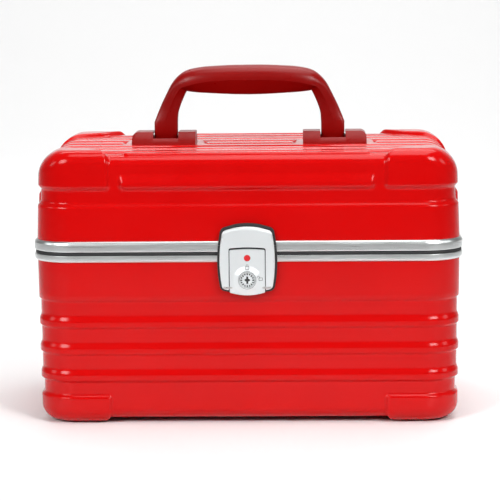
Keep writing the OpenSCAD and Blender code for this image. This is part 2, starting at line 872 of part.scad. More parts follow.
// A mount slopes up from the lid at its front and rear, and its outer end is rounded over
module mount_body() {
  difference() {
    intersection() {
      slab_y(-mount_half_y, mount_half_y)
        polygon(concat(
          [[mount_x0, lid_top_z], [mount_x1, lid_top_z]],
          quarter(mount_x1 - mount_end_r, mount_top_z - mount_end_r, mount_end_r, 0),
          [[mount_x0, mount_top_z]]
        ));
      along_x(mount_x0, mount_x1)
        polygon([
          [-mount_half_y, lid_top_z], [mount_half_y, lid_top_z], [mount_half_y, lid_top_z + 1],
          [mount_top_half_y, mount_top_z], [-mount_top_half_y, mount_top_z],
          [-mount_half_y, lid_top_z + 1]
        ]);
    }
    translate([notch_x0, -mount_half_y - 1, notch_z])
      cube([notch_x1 - notch_x0, 2 * mount_half_y + 2, mount_top_z]);
    translate([notch_x0, -pocket_half_y, lid_top_z - 1])
      cube([notch_x1 - notch_x0, 2 * pocket_half_y, mount_top_z]);
    rod_x(0, fold_z, handle_pin_r, notch_x0 - handle_pin_grip, notch_x1 + handle_pin_grip);
    for (x = handle_screw_x)
      translate([x, 0, lid_top_z - 1]) cylinder(r = handle_screw_r, h = 6);
  }
}

module handle_mount_right() {
  color("#7c1512") mount_body();
}

module handle_mount_left() {
  color("#7c1512") mirror([1, 0, 0]) mount_body();
}

module handle_pins() {
  color("#8f9296")
    for (sx = [-1, 1])
      rod_x(
        0, fold_z, handle_pin_r,
        sx * (notch_x0 - handle_pin_grip), sx * (notch_x1 + handle_pin_grip));
}

module handle_backplates() {
  color("#9a9da2")
    difference() {
      for (sx = [-1, 1])
        translate([sx * 70 - 28, -14, lid_roof_z - backplate_t]) cube([56, 28, backplate_t]);
      at_handle_screws()
        translate([0, 0, lid_roof_z - backplate_t - 1]) cylinder(r = handle_screw_r, h = 4);
    }
}

module handle_screws() {
  color("#7d8084")
    at_handle_screws() {
      translate([0, 0, lid_roof_z - backplate_t]) cylinder(r = handle_screw_r, h = 9.3);
      translate([0, 0, lid_roof_z - backplate_t - 1.4]) cylinder(r = 3.6, h = 1.4);
    }
}

mirror_top_z = lining_top_z - lining_t;

module mirror_frame() {
  color("#1d1d20")
    translate([0, 0, mirror_top_z - mirror_frame_t])
      difference() {
        linear_extrude(mirror_frame_t)
          difference() {
            square([mirror_w + 2 * mirror_rim, mirror_d + 2 * mirror_rim], center = true);
            square([mirror_w - 4, mirror_d - 4], center = true);
          }
        translate([-mirror_w / 2, -mirror_d / 2, 1]) cube([mirror_w, mirror_d, mirror_frame_t]);
      }
}

module mirror_glass() {
  color("#dfe6ea")
    translate([-mirror_w / 2 + 0.2, -mirror_d / 2 + 0.2, mirror_top_z - mirror_frame_t + 1])
      cube([mirror_w - 0.4, mirror_d - 0.4, 1.8]);
}

// Right half of the handle's arch in X and Z, from the legs to the middle
outer_arch = [
  [handle_half_w, 235.6], [75.3, 244.7], [69.3, 258.3], [64.6, 267.4], [58.9, 274.1],
  [52, 278.6], [40.6, 280.9], [17.8, 282.3]
];
inner_arch = [
  [leg_inner_x, 240], [58.1, 245.7], [55.2, 253.7], [51.7, 259], [46, 260.4], [18, 258.5]
];

function raised(points) = [for (p = points) [p[0], p[1] + handle_top_z - 282.5]];
function flipped(points) = [for (p = points) [-p[0], p[1]]];
function backwards(points) = [for (i = [len(points) - 1:-1:0]) points[i]];

module handle_outline() {
  inner = concat([[leg_inner_x, fold_z]], raised(inner_arch), raised([[9, 258.1]]));
  outer = concat([[handle_half_w, fold_z]], raised(outer_arch), raised([[6, 282.5]]));
  polygon(concat(inner, backwards(flipped(inner)), flipped(outer), backwards(outer)));
}

module handle() {
  leg_out_z = fold_z + 7;
  color("#96201a")
    difference() {
      union() {
        intersection() {
          slab_y(-20, 20) handle_outline();
          translate([0, 0, fold_z])
            linear_extrude(80)
              polygon([
                [-90, -leg_half_t], [-58, -leg_half_t], [-46, -grip_w / 2], [46, -grip_w / 2],
                [58, -leg_half_t], [90, -leg_half_t], [90, leg_half_t], [58, leg_half_t],
                [46, grip_w / 2], [-46, grip_w / 2], [-58, leg_half_t], [-90, leg_half_t]
              ]);
          along_x(-90, 90)
            polygon([
              [-leg_end_r, fold_z], [leg_end_r, fold_z], [leg_half_t, leg_out_z],
              [grip_w / 2, leg_out_z + 12], [grip_w / 2, 300], [-grip_w / 2, 300],
              [-grip_w / 2, leg_out_z + 12], [-leg_half_t, leg_out_z]
            ]);
        }
        for (sx = [-1, 1])
          rod_x(0, fold_z, leg_end_r, sx * leg_inner_x, sx * handle_half_w);
      }
      for (sx = [-1, 1])
        rod_x(0, fold_z, handle_pin_r + running_gap, sx * (leg_inner_x - 1), sx * (handle_half_w + 1));
    }
}

base_shell();
base_frame();
frame_seal();
base_lining();
feet();
base_splice();
base_rivets();
hinge_base_left();
hinge_base_right();
hinge_pins();
hinge_rivets_base();
latch_bezel_lower();
lock_plate();
lever_pins();
lever_springs();
lock_screws();
lock_indicator();
lid_shell();
lid_frame();
lid_lining();
lid_splice();
lid_rivets();
hinge_lid_left();
hinge_lid_right();
hinge_rivets_lid();
latch_bezel_upper();
latch_keeper();
bezel_screws();
handle_mount_left();
handle_mount_right();
handle_pins();
handle_backplates();
handle_screws();
mirror_frame();
mirror_glass();
latch_lever();
lever_hook();
key_plug();
lock_cam();
handle();
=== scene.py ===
"""Looks of a hard-shell vanity case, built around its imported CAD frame.

Shapes are worked out in millimetres, in the frame's axes, and become metres when a mesh is made.
"""
import math

import bmesh
import bpy
import numpy as np
from mathutils import Matrix, Vector
from mathutils.geometry import delaunay_2d_cdt


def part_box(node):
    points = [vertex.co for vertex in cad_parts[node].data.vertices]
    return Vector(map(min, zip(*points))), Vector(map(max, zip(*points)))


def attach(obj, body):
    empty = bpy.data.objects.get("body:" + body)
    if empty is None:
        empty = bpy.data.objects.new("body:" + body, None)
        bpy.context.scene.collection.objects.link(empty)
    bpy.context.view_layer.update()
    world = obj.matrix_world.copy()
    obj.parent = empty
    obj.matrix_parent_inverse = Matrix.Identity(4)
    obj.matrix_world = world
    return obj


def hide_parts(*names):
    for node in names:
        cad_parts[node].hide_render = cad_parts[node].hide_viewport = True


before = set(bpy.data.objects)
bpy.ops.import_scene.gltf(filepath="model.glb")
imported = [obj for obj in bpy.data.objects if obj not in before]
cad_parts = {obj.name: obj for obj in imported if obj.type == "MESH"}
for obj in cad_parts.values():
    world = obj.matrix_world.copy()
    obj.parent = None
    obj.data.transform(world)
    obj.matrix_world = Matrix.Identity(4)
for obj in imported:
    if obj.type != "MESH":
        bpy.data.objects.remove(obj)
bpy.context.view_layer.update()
MM = 0.001


# ---------------- sizes from the frame

def box_mm(node):
    """Lowest and highest corner of a CAD node, in millimetres."""
    low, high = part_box(node)
    return np.array(low) / MM, np.array(high) / MM


lid_low, lid_high = box_mm("lid_shell")
base_low, base_high = box_mm("base_shell")
_, lid_frame_high = box_mm("lid_frame")
base_frame_low, _ = box_mm("base_frame")
mount_low, mount_high = box_mm("handle_mount_right")

HALF_W, HALF_D = lid_high[:2]
CORNER_R = 30.0
CORNER_X = HALF_W - CORNER_R
CORNER_Y = HALF_D - CORNER_R
WALL_T = 2.5
FRAME_OUT = lid_frame_high[0] - HALF_W
BASE_BAND_Z = (131.8, 137.1)
LID_BAND_Z = (140.1, 148.4)
TAU = 2 * math.pi


# ---------------- objects and meshes

MERGE_DIST, FLAT_DIST = 0.004 * MM, 0.001 * MM


def linked(name, data):
    """A new object in the scene."""
    obj = bpy.data.objects.new(name, data)
    bpy.context.scene.collection.objects.link(obj)
    return obj


def place(obj, body, nodes):
    """Puts a finished piece on its body, in place of its CAD nodes."""
    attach(obj, body)
    if nodes:
        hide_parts(*nodes)


def finished(name, mesh, material, sharp):
    """The object of a mesh, smooth except at edges sharper than an angle in degrees."""
    mesh.shade_smooth()
    mesh.set_sharp_from_angle(angle=math.radians(sharp))
    mesh.materials.append(material)
    return linked(name, mesh)


def add_object(name, verts, faces, material, sharp=40.0):
    """A mesh object from vertices in millimetres, with its doubled points merged."""
    mesh = bpy.data.meshes.new(name)
    mesh.from_pydata((np.asarray(verts, float) * MM).tolist(), [], [list(map(int, f)) for f in faces])
    mesh.validate()
    bm = bmesh.new()
    bm.from_mesh(mesh)
    bmesh.ops.remove_doubles(bm, verts=bm.verts, dist=MERGE_DIST)
    bmesh.ops.dissolve_degenerate(bm, edges=bm.edges, dist=FLAT_DIST)
    bmesh.ops.recalc_face_normals(bm, faces=bm.faces)
    bm.to_mesh(mesh)
    bm.free()
    return finished(name, mesh, material, sharp)


def joined(name, objects, sharp=35):
    """One piece out of several of the same material."""
    material = objects[0].data.materials[0]
    whole = bmesh.new()
    for obj in objects:
        whole.from_mesh(obj.data)
        bpy.data.objects.remove(obj)
    mesh = bpy.data.meshes.new(name)
    whole.to_mesh(mesh)
    whole.free()
    return finished(name, mesh, material, sharp)


def grid_faces(rows, cols, closed=False, start=0):
    """Quads of a grid of rows x cols vertices, numbered row by row."""
    last = cols if closed else cols - 1
    return [
        (start + r * cols + c, start + r * cols + (c + 1) % cols,
         start + (r + 1) * cols + (c + 1) % cols, start + (r + 1) * cols + c)
        for r in range(rows - 1) for c in range(last)
    ]


def spaced(stops):
    """Values from stop to stop, where stops is [first, (step, next), (step, next), ...]."""
    values = [stops[0]]
    for step, end in stops[1:]:
        count = max(1, round(abs(end - values[-1]) / step))
        values += list(np.linspace(values[-1], end, count + 1)[1:])
    return np.array(values)


def mirrored(*stops):
    """Values spaced from zero through the stops, with their mirror image in front of them."""
    half = spaced([0.0, *stops])
    return np.concatenate([-half[:0:-1], half])


def ramp(low, high, value):
    """0 below low, 1 above high, and a smooth S between them."""
    t = np.clip((value - low) / (high - low), 0, 1)
    return t * t * (3 - 2 * t)


# ---------------- the case's rounded rectangle

def perimeter(xs, ys, corner_steps):
    """Columns round the case: where each column's corner axis stands, and which way it faces."""
    axes, facing = [], []

    def add(x, y, angle):
        axes.append((x, y))
        facing.append((math.cos(angle), math.sin(angle)))

    for side in range(4):
        turn = side * math.pi / 2
        out_x, out_y = round(math.cos(turn)), round(math.sin(turn))
        for value in (xs if side % 2 else ys)[:-1]:
            add(out_x * CORNER_X - out_y * value, out_y * CORNER_Y + out_x * value, turn)
        for step in range(corner_steps):
            angle = turn + step / corner_steps * math.pi / 2
            add((out_x - out_y) * CORNER_X, (out_x + out_y) * CORNER_Y, angle)
    return np.array(axes), np.array(facing)


def swept(columns, rows):
    """Points of a profile of (r, z) rows taken round the case."""
    axes, facing = columns
    rows = np.asarray(rows, float)
    points = np.empty((len(rows), len(axes), 3))
    points[..., :2] = axes + rows[:, None, :1] * facing
    points[..., 2] = rows[:, 1:]
    return points.reshape(-1, 3)


def flat_grid(xs, ys, z):
    """Points of a level grid, row by row."""
    gx, gy = np.meshgrid(xs, ys)
    return np.stack([gx.ravel(), gy.ravel(), np.full(gx.size, z)], axis=-1)


def moulded_shell(name, material, xs, ys, corner_steps, outer_rows, inner_rows, depth, top_sign):
    """A closed shell: a shaped outer skin, a plain inner skin, and the rim between them.

    outer_rows of (r, z, normal r, normal z) run from the flat top (or bottom) out and along the wall to
    the rim, inner_rows of (r, z) run from the rim back, and depth(points, normals) is how far each outer
    point lies inside the envelope."""
    columns = perimeter(xs, ys, corner_steps)
    count = len(columns[0])
    points = swept(columns, [row[:2] for row in outer_rows])
    normals = swept((0 * columns[0], columns[1]), [row[2:] for row in outer_rows])
    flat = flat_grid(xs, ys, outer_rows[0][1])
    outer = np.concatenate([points, flat])
    outer_normals = np.concatenate([normals, np.tile([0, 0, top_sign], (len(flat), 1))])
    outer_normals /= np.linalg.norm(outer_normals, axis=1)[:, None]
    outer -= outer_normals * depth(outer, outer_normals)[:, None]
    inner = swept(columns, inner_rows)
    faces = grid_faces(len(outer_rows), count, closed=True)
    faces += grid_faces(len(ys), len(xs), start=len(points))
    inner_start = len(outer)
    rim_start = (len(outer_rows) - 1) * count
    here, after = np.arange(count), np.roll(np.arange(count), -1)
    faces += zip(rim_start + here, rim_start + after, inner_start + after, inner_start + here)
    faces += grid_faces(len(inner_rows), count, closed=True, start=inner_start)
    last = inner_start + (len(inner_rows) - 1) * count
    faces.append(range(last, last + count))
    return add_object(name, np.concatenate([outer, inner]), faces, material, 70.0)


def ring(name, material, outline, columns):
    """A closed profile of (r, z) points swept round the case."""
    points = swept(columns, outline)
    faces = grid_faces(len(outline) + 1, len(columns[0]), closed=True)
    faces = [[i % len(points) for i in face] for face in faces]
    return add_object(name, points, faces, material)


def arc(x, z, half, height, start, end, count):
    """Points along an elliptical arc about (x, z), from one angle to another."""
    return [(x + half * math.cos(a), z + height * math.sin(a)) for a in np.linspace(start, end, count)]


def rectangle(x0, x1, z0, z1):
    return [(x0, z0), (x1, z0), (x1, z1), (x0, z1)]


def rounded(outline, radius, steps=4):
    """A closed outline with its corners rounded: radius is one number or one for each corner."""
    outline = [np.array(p, float) for p in outline]
    radii = [radius] * len(outline) if np.isscalar(radius) else radius
    result = []
    for i, point in enumerate(outline):
        before, after = outline[i - 1] - point, outline[(i + 1) % len(outline)] - point
        len_b, len_a = np.linalg.norm(before), np.linalg.norm(after)
        before, after = before / len_b, after / len_a
        angle = math.acos(float(np.clip(before @ after, -1, 1)))
        if radii[i] <= 0 or angle > math.radians(176):
            result.append(point)
            continue
        cut = min(radii[i] / math.tan(angle / 2), 0.45 * len_b, 0.45 * len_a)
        r = cut * math.tan(angle / 2)
        middle = before + after
        centre = point + middle / np.linalg.norm(middle) * r / math.sin(angle / 2)
        start, end = point + before * cut - centre, point + after * cut - centre
        sweep_angle = math.atan2(start[0] * end[1] - start[1] * end[0], start @ end)
        for k in range(steps + 1):
            a = sweep_angle * k / steps
            c, s = math.cos(a), math.sin(a)
            result.append(centre + np.array([start[0] * c - start[1] * s, start[0] * s + start[1] * c]))
    return result


# ---------------- materials

def set_inputs(material, node, inputs):
    """Sets a node's inputs, named with _ for a space, to values or links them to other nodes' outputs."""
    for key, value in inputs.items():
        socket = node.inputs[key.replace("_", " ")]
        if isinstance(value, bpy.types.NodeSocket):
            material.node_tree.links.new(value, socket)
        else:
            socket.default_value = value


def add_node(material, kind, **inputs):
    """A new shader node with some of its inputs set or linked."""
    node = material.node_tree.nodes.new("ShaderNode" + kind)
    set_inputs(material, node, inputs)
    return node


def shade(material, **inputs):
    """Sets or links inputs of the material's own shader."""
    set_inputs(material, material.node_tree.nodes["Principled BSDF"], inputs)


def principled(name, color, roughness, metallic=0.0, **inputs):
    """A material with a Principled shader."""
    material = bpy.data.materials.new(name)
    material.use_nodes = True
    shade(material, Base_Color=(*color, 1), Roughness=roughness, Metallic=metallic, **inputs)
    return material


def noise(material, scale, detail=3.0, stretch=(1, 1, 1)):
    """Noise over the object's own coordinates, in features per metre."""
    coords = add_node(material, "TexCoord").outputs["Object"]
    mapped = add_node(material, "Mapping", Vector=coords, Scale=stretch).outputs["Vector"]
    return add_node(material, "TexNoise", Vector=mapped, Scale=scale, Detail=detail).outputs["Fac"]


def vary(material, source, low, high):
    """Lets a source drive the roughness between two values."""
    spread = add_node(material, "MapRange", Value=source, From_Min=0.3, From_Max=0.7, To_Min=low, To_Max=high)
    shade(material, Roughness=spread.outputs["Result"])


def tint(material, source, color_a, color_b):
    """Mixes the base colour between two colours by a source."""
    colors = add_node(material, "ValToRGB", Fac=source)
    for element, position, color in zip(colors.color_ramp.elements, (0.3, 0.7), (color_a, color_b)):
        element.position = position
        element.color = (*color, 1)
    shade(material, Base_Color=colors.outputs["Color"])


def bump(material, source, distance):
    """Adds relief of a depth in metres to what the shader's normal already has."""
    step = add_node(material, "Bump", Height=source, Distance=distance, Strength=1.0)
    for link in material.node_tree.nodes["Principled BSDF"].inputs["Normal"].links:
        set_inputs(material, step, {"Normal": link.from_socket})
    shade(material, Normal=step.outputs["Normal"])


def make_shell_material():
    material = principled("glossy_red_polycarbonate", (0.49, 0.0008, 0.0008), 0.16, Specular_IOR_Level=0.22)
    tint(material, noise(material, 14), (0.475, 0.0006, 0.0006), (0.505, 0.001, 0.001))
    vary(material, noise(material, 45), 0.13, 0.2)
    bump(material, noise(material, 60, 2), 0.00003)
    bump(material, noise(material, 1800, 2), 0.000004)
    return material


def make_aluminium():
    material = principled("satin_aluminium", (0.66, 0.68, 0.68), 0.3, 1.0)
    vary(material, noise(material, 500, 2, (0.04, 0.04, 3)), 0.26, 0.38)
    bump(material, noise(material, 900, 2, (0.03, 0.03, 4)), 0.000012)
    return material


def make_latch_metal():
    material = principled("satin_silver", (0.67, 0.7, 0.71), 0.36, 0.4)
    vary(material, noise(material, 800, 3), 0.3, 0.4)
    bump(material, noise(material, 4200, 2), 0.000006)
    return material


def make_handle_plastic():
    material = principled("satin_red_brown_plastic", (0.2, 0.001, 0.0006), 0.3, Specular_IOR_Level=0.2)
    tint(material, noise(material, 30), (0.19, 0.0008, 0.0005), (0.215, 0.0014, 0.0008))
    vary(material, noise(material, 160), 0.27, 0.35)
    bump(material, noise(material, 2600, 2), 0.00001)
    return material


def make_plain(name, color, roughness, scale, low, high, metallic=0.0):
    """A material of one colour, whose roughness wanders between two values."""
    material = principled(name, color, roughness, metallic)
    vary(material, noise(material, scale), low, high)
    return material


def make_rubber(name, color):
    material = make_plain(name, color, 0.55, 300, 0.48, 0.62)
    bump(material, noise(material, 2500, 2), 0.00001)
    return material


def make_mark_or_shade_material(name, color):
    return make_plain(name, color, 0.4, 700, 0.34, 0.46)


def make_lining_cloth():
    """Fine woven cloth: warp and weft as crossed waves, over a soft mottle."""
    material = principled("woven_lining", (0.028, 0.028, 0.032), 0.85, Sheen_Weight=0.25)
    coords = add_node(material, "TexCoord").outputs["Object"]

    def wave(direction):
        node = add_node(material, "TexWave", Vector=coords, Scale=260, Distortion=0.4)
        node.bands_direction = direction
        return node.outputs["Fac"]

    def highest(*sources):
        node = add_node(material, "Math")
        node.operation = "MAXIMUM"
        for socket, source in zip(node.inputs, sources):
            material.node_tree.links.new(source, socket)
        return node.outputs[0]

    bump(material, highest(highest(wave("X"), wave("Y")), wave("Z")), 0.00012)
    tint(material, noise(material, 70), (0.024, 0.024, 0.028), (0.036, 0.036, 0.042))
    return material


RED = make_shell_material()
ALUMINIUM = make_aluminium()
SILVER = make_latch_metal()
HANDLE = make_handle_plastic()
SEAL = make_rubber("black_seal_rubber", (0.01, 0.01, 0.011))
BEZEL = make_rubber("satin_black_plastic", (0.011, 0.011, 0.012))
FEET = make_rubber("black_foot_rubber", (0.014, 0.014, 0.015))
STEEL = make_plain("zinc_plated_steel", (0.5, 0.5, 0.49), 0.3, 900, 0.24, 0.4, metallic=1.0)
LINING = make_lining_cloth()
# dark print for the padlock marks, and painted shade behind the keyway and in the key's notches
DARK_PRINT_AND_SHADE = make_mark_or_shade_material("dark_print_and_painted_shade", (0.03, 0.03, 0.03))
DOT = make_mark_or_shade_material("red_mark", (0.55, 0.006, 0.01))
MIRROR = make_plain("silvered_glass", (0.86, 0.89, 0.9), 0.02, 25, 0.01, 0.03, metallic=1.0)


# ---------------- camera, light and floor

def make_camera():
    """Long lens a little over the case, turned and tilted by a yaw, a pitch and a roll in degrees."""
    data = bpy.data.cameras.new("camera")
    data.sensor_width, data.lens = 36, 159.04
    data.clip_start, data.clip_end = 0.05, 60
    position = Vector((46.917, -1839.541, 375.781)) * MM
    yaw, pitch, roll = (math.radians(v) for v in (-1.4775, 7.7009, -0.5267))
    forward = Vector((math.sin(yaw) * math.cos(pitch), math.cos(yaw) * math.cos(pitch), -math.sin(pitch)))
    across = Vector((math.cos(yaw), -math.sin(yaw), 0))
    upright = across.cross(forward)
    right = math.cos(roll) * across + math.sin(roll) * upright
    up = -math.sin(roll) * across + math.cos(roll) * upright
    camera = linked("camera", data)
    camera.matrix_world = Matrix.Translation(position) @ Matrix((right, up, -forward)).transposed().to_4x4()
    bpy.context.scene.camera = camera
    bpy.context.scene.view_settings.view_transform = "Standard"


def add_light(name, position, target, size, power, spread=180, glossy_only=False):
    """An area light, in metres, watts and degrees; a glossy_only one shows in reflections alone."""
    data = bpy.data.lights.new(name, "AREA")
    data.shape = "RECTANGLE"
    data.size, data.size_y = size
    data.energy = power
    data.spread = math.radians(spread)
    light = linked(name, data)
    light.location = position
    light.rotation_mode = "QUATERNION"
    light.rotation_quaternion = (Vector(target) - Vector(position)).to_track_quat("-Z", "Y")
    light.visible_diffuse = not glossy_only


def make_floor():
    """Pale floor that sweeps up behind the case, in metres."""
    radius, half_width, front, back, height = 1.2, 6.0, -5.0, 2.2, 4.0
    section = [(front, 0.0), (back, 0.0)]
    section += arc(back, radius, radius, radius, -math.pi / 2, 0, 17)[1:]
    section.append((back + radius, height))
    verts = [(x * half_width, y, z) for y, z in section for x in (-1, 1)]
    faces = [(2 * i, 2 * i + 1, 2 * i + 3, 2 * i + 2) for i in range(len(section) - 1)]
    mesh = bpy.data.meshes.new("floor")
    mesh.from_pydata(verts, [], faces)
    mesh.shade_smooth()
    paper = principled("pale_floor", (0.82, 0.82, 0.82), 0.6)
    vary(paper, noise(paper, 3), 0.55, 0.65)
    mesh.materials.append(paper)
    linked("floor", mesh)


def make_lights():
    """A soft grey sky, softboxes, and cards that only show as reflections on the edges."""
    world = bpy.data.worlds.new("studio")
    bpy.context.scene.world = world
    world.use_nodes = True
    sky = world.node_tree.nodes["Background"]
    sky.inputs["Color"].default_value = (1, 1, 1, 1)
    sky.inputs["Strength"].default_value = 0.14
    add_light("top_softbox", (0.25, -0.1, 1.9), (0, 0, 0.1), (1.5, 1.1), 9.5, spread=120)
    add_light("front_left_softbox", (-1.5, -1.9, 1.5), (0, 0, 0.14), (1.2, 1.1), 3.9, spread=45)
    add_light("front_right_softbox", (1.5, -1.9, 1.7), (0, 0, 0.14), (1.2, 1.1), 4.7, spread=45)
    for name, x in (("left_sheen", -2.1), ("right_sheen", 2.1)):
        add_light(name, (x, -0.45, 0.95), (0, 0, 0.16), (0.6, 0.7), 4.5, glossy_only=True)
    add_light("edge_sheen", (0.1, 1.0, 1.75), (0, 0, 0.2), (2.0, 0.6), 4, glossy_only=True)
    add_light("backdrop_light", (0, 1.3, 2.6), (0, 3.4, 0.5), (3.0, 0.8), 84)


make_camera()
make_floor()
make_lights()


# ---------------- moulded shells

LID_DRAFT = math.tan(math.radians(2.0))
BASE_DRAFT = math.tan(math.radians(0.6))
LID_STRAIGHT_Z = 150.0
BASE_STRAIGHT_Z = 125.0
LID_EDGE_R = 11.0
BUMPER_EDGE_RS = (11.0, 22.0)
PANEL_EDGE_RS = (9.0, 19.0)
BASE_EDGE_R = 13.0
FACE_DEPTH = 2.4
TOP_DEPTH = 4.0
RIB_H = 1.6
RIB_PITCH = 24.0
FRONT_RIB_Y, FRONT_RIB_FROM_Y = 90.5, 83
BUMPER_X = 61.2
BUMPER_Y = 49.0
BUMPER_SHAPE = 1.6
GROOVE_DEPTH = 1.5
GROOVE_PITCH = 21.6
GROOVE_TOP_Z = 101.0
LID_GROOVE_TOP_Z = 188.7
LID_TURN_Z = (174.6, 179.4)
BEAD_HALF_X, BEAD_HALF_Y = 102, 46.5
END_PAD_Y = 73.0
BASE_BUMPER_TOP_Z = 24.2


def lid_wall_r(z):
    return CORNER_R - np.maximum(0, z - LID_STRAIGHT_Z) * LID_DRAFT


def base_wall_r(z):
    return CORNER_R - np.maximum(0, BASE_STRAIGHT_Z - z) * BASE_DRAFT


def bumper_reach(points):
    """Distance inside a corner bumper's inner outline, in plan; negative outside it."""
    dx = np.maximum(HALF_W - np.abs(points[:, 0]), 0) / BUMPER_X
    dy = np.maximum(HALF_D - np.abs(points[:, 1]), 0) / BUMPER_Y
    return (1 - (dx ** BUMPER_SHAPE + dy ** BUMPER_SHAPE) ** (1 / BUMPER_SHAPE)) * 57


def both(a, b, radius):
    """Smaller of two distances, rounded where both are under radius."""
    near = radius - np.hypot(np.maximum(radius - a, 0), np.maximum(radius - b, 0))
    return np.where((a < radius) & (b < radius), near, np.minimum(a, b))


def edge_depth(points, normals, wall_inset, top, radii):
    """How far each point moves in along its normal to reach a top whose edge radius is radii[0] at the
    front and rear and radii[1] at the ends."""
    outside_x = np.maximum(np.abs(points[:, 0]) - CORNER_X, 0)
    outside_y = np.maximum(np.abs(points[:, 1]) - CORNER_Y, 0)
    to_end = outside_x ** 2 / np.maximum(outside_x ** 2 + outside_y ** 2, 1e-9)
    radius = radii[0] + (radii[1] - radii[0]) * to_end
    depth = np.full(len(points), float(wall_inset))
    for _ in range(30):
        moved = points - normals * depth[:, None]
        z = moved[:, 2]
        beyond = np.maximum(np.abs(moved[:, :2]) - (CORNER_X, CORNER_Y), 0)
        out = np.hypot(beyond[:, 0], beyond[:, 1]) - (lid_wall_r(z) - wall_inset) + radius
        over = z - top + radius
        away = np.hypot(np.maximum(out, 0), np.maximum(over, 0)) + np.minimum(np.maximum(out, over), 0)
        depth = depth + 0.8 * (away - radius)
    return depth


def chamfer(low, high, value):
    """0 below low, 1 above high, and nearly straight between them."""
    t = np.clip((value - low) / (high - low), 0, 1)
    return 0.7 * t + 0.3 * t * t * (3 - 2 * t)


def top_ribs(placed, facing_up):
    """Height, from 0 to 1, of the ribs along the top and of the flat pads under the handle's mounts."""
    x, y = np.abs(placed[:, 0]), np.abs(placed[:, 1])
    index = np.minimum(np.round(y / RIB_PITCH), 4)
    in_front = y > FRONT_RIB_FROM_Y
    rib_y = np.where(in_front, FRONT_RIB_Y, index * RIB_PITCH)
    half = np.where(in_front, 5.4, 8.0)
    reach = np.where(in_front, 99.5, np.where(index == 3, 123.5, 400))
    rib = ramp(0, 2.8, both(half - np.abs(y - rib_y), reach - x, 5))
    clear_of_mount = np.maximum(mount_low[0] - 7 - x, x - mount_high[0] - 7)
    rib = np.where(index == 0, rib * ramp(0, 2.6, clear_of_mount), rib)
    pad = ramp(-4, -1, both(mount_high[1] + 1 - y, both(x - 41, 101 - x, 4), 4))
    return np.maximum(rib, pad) * ramp(0.35, 0.8, facing_up)


def lid_depth(points, normals):
    """The lid inside its envelope: bumpers, a bead over the front groove and pads on the ends stand out."""
    x, y, z = np.abs(points[:, 0]), np.abs(points[:, 1]), points[:, 2]
    above_groove = z - LID_GROOVE_TOP_Z
    bumper = chamfer(-0.2, 2.9, both(bumper_reach(points), above_groove, 4))
    on_end = x > HALF_W - 10
    along = np.where(on_end, BEAD_HALF_Y - y, BEAD_HALF_X - x)
    bead = chamfer(-0.2, 2.7, both(along, above_groove, 4.5)) * (1 - ramp(193.5, 203, z))
    pad = on_end * chamfer(0, 5.5, LID_GROOVE_TOP_Z - 0.5 - z) * ramp(0, 5, END_PAD_Y - y)
    raised = np.maximum(np.maximum(bumper, bead), pad)
    envelope = edge_depth(points, normals, 0, lid_high[2], BUMPER_EDGE_RS)
    panel = edge_depth(points, normals, FACE_DEPTH, lid_high[2] - TOP_DEPTH, PANEL_EDGE_RS)
    depth = ramp(*LID_TURN_Z, z) * ((1 - raised) * panel + raised * envelope)
    return depth - RIB_H * top_ribs(points - normals * depth[:, None], normals[:, 2]) * (1 - bumper)


def base_depth(points, _normals):
    """The base inside its envelope: three grooves, and a recessed lower wall between the bumpers."""
    z = points[:, 2]
    phase = (GROOVE_TOP_Z - z) % GROOVE_PITCH
    groove = ramp(0, 1.7, phase) * (1 - ramp(12.6, 18.0, phase))
    low_top = GROOVE_TOP_Z - 3 * GROOVE_PITCH
    grooved = (z < GROOVE_TOP_Z) & (z > low_top)
    depth = np.where(grooved, GROOVE_DEPTH * groove, 0.0)
    low = FACE_DEPTH * ramp(-low_top, -low_top + 2.4, -z) + 0.6 * ramp(-12, -3, -z)
    depth = np.where(z <= low_top, low, depth)
    bumper = ramp(0, 2.6, both(bumper_reach(points), BASE_BUMPER_TOP_Z - z, 4))
    return depth * (1 - bumper)


def make_lid_shell():
    top = lid_high[2]
    arc_z = top - LID_EDGE_R
    arc_r = float(lid_wall_r(arc_z)) - LID_EDGE_R
    rows = [(r, top, 0, 1) for r in spaced([0.0, (1.2, arc_r)])[:-1]]
    rows += [(arc_r + LID_EDGE_R * math.sin(a), arc_z + LID_EDGE_R * math.cos(a), math.sin(a), math.cos(a))
             for a in np.linspace(0, math.pi / 2, 22)]
    wall = spaced([arc_z, (0.85, 174), (3, 152), (2, lid_low[2])])[1:]
    rows += [(float(lid_wall_r(z)), z, 1, LID_DRAFT) for z in wall]
    face_edge_r = PANEL_EDGE_RS[1]
    turn_z = top - TOP_DEPTH - face_edge_r
    turn_r = float(lid_wall_r(turn_z)) - FACE_DEPTH - face_edge_r
    inner_arc = face_edge_r - 1.8
    inner = [(CORNER_R - WALL_T, lid_low[2]), (CORNER_R - WALL_T, LID_STRAIGHT_Z),
             (CORNER_R - 4.4, LID_STRAIGHT_Z + 5), (CORNER_R - 5.3, 180)]
    inner += arc(turn_r, turn_z, inner_arc, inner_arc, 0, math.pi / 2, 9)
    xs = mirrored((3.5, 35), (1.2, 54), (4, 86), (1.1, CORNER_X))
    ys = mirrored((1.1, CORNER_Y))
    return moulded_shell("lid_shell_skin", RED, xs, ys, 28, rows, inner, lid_depth, 1)


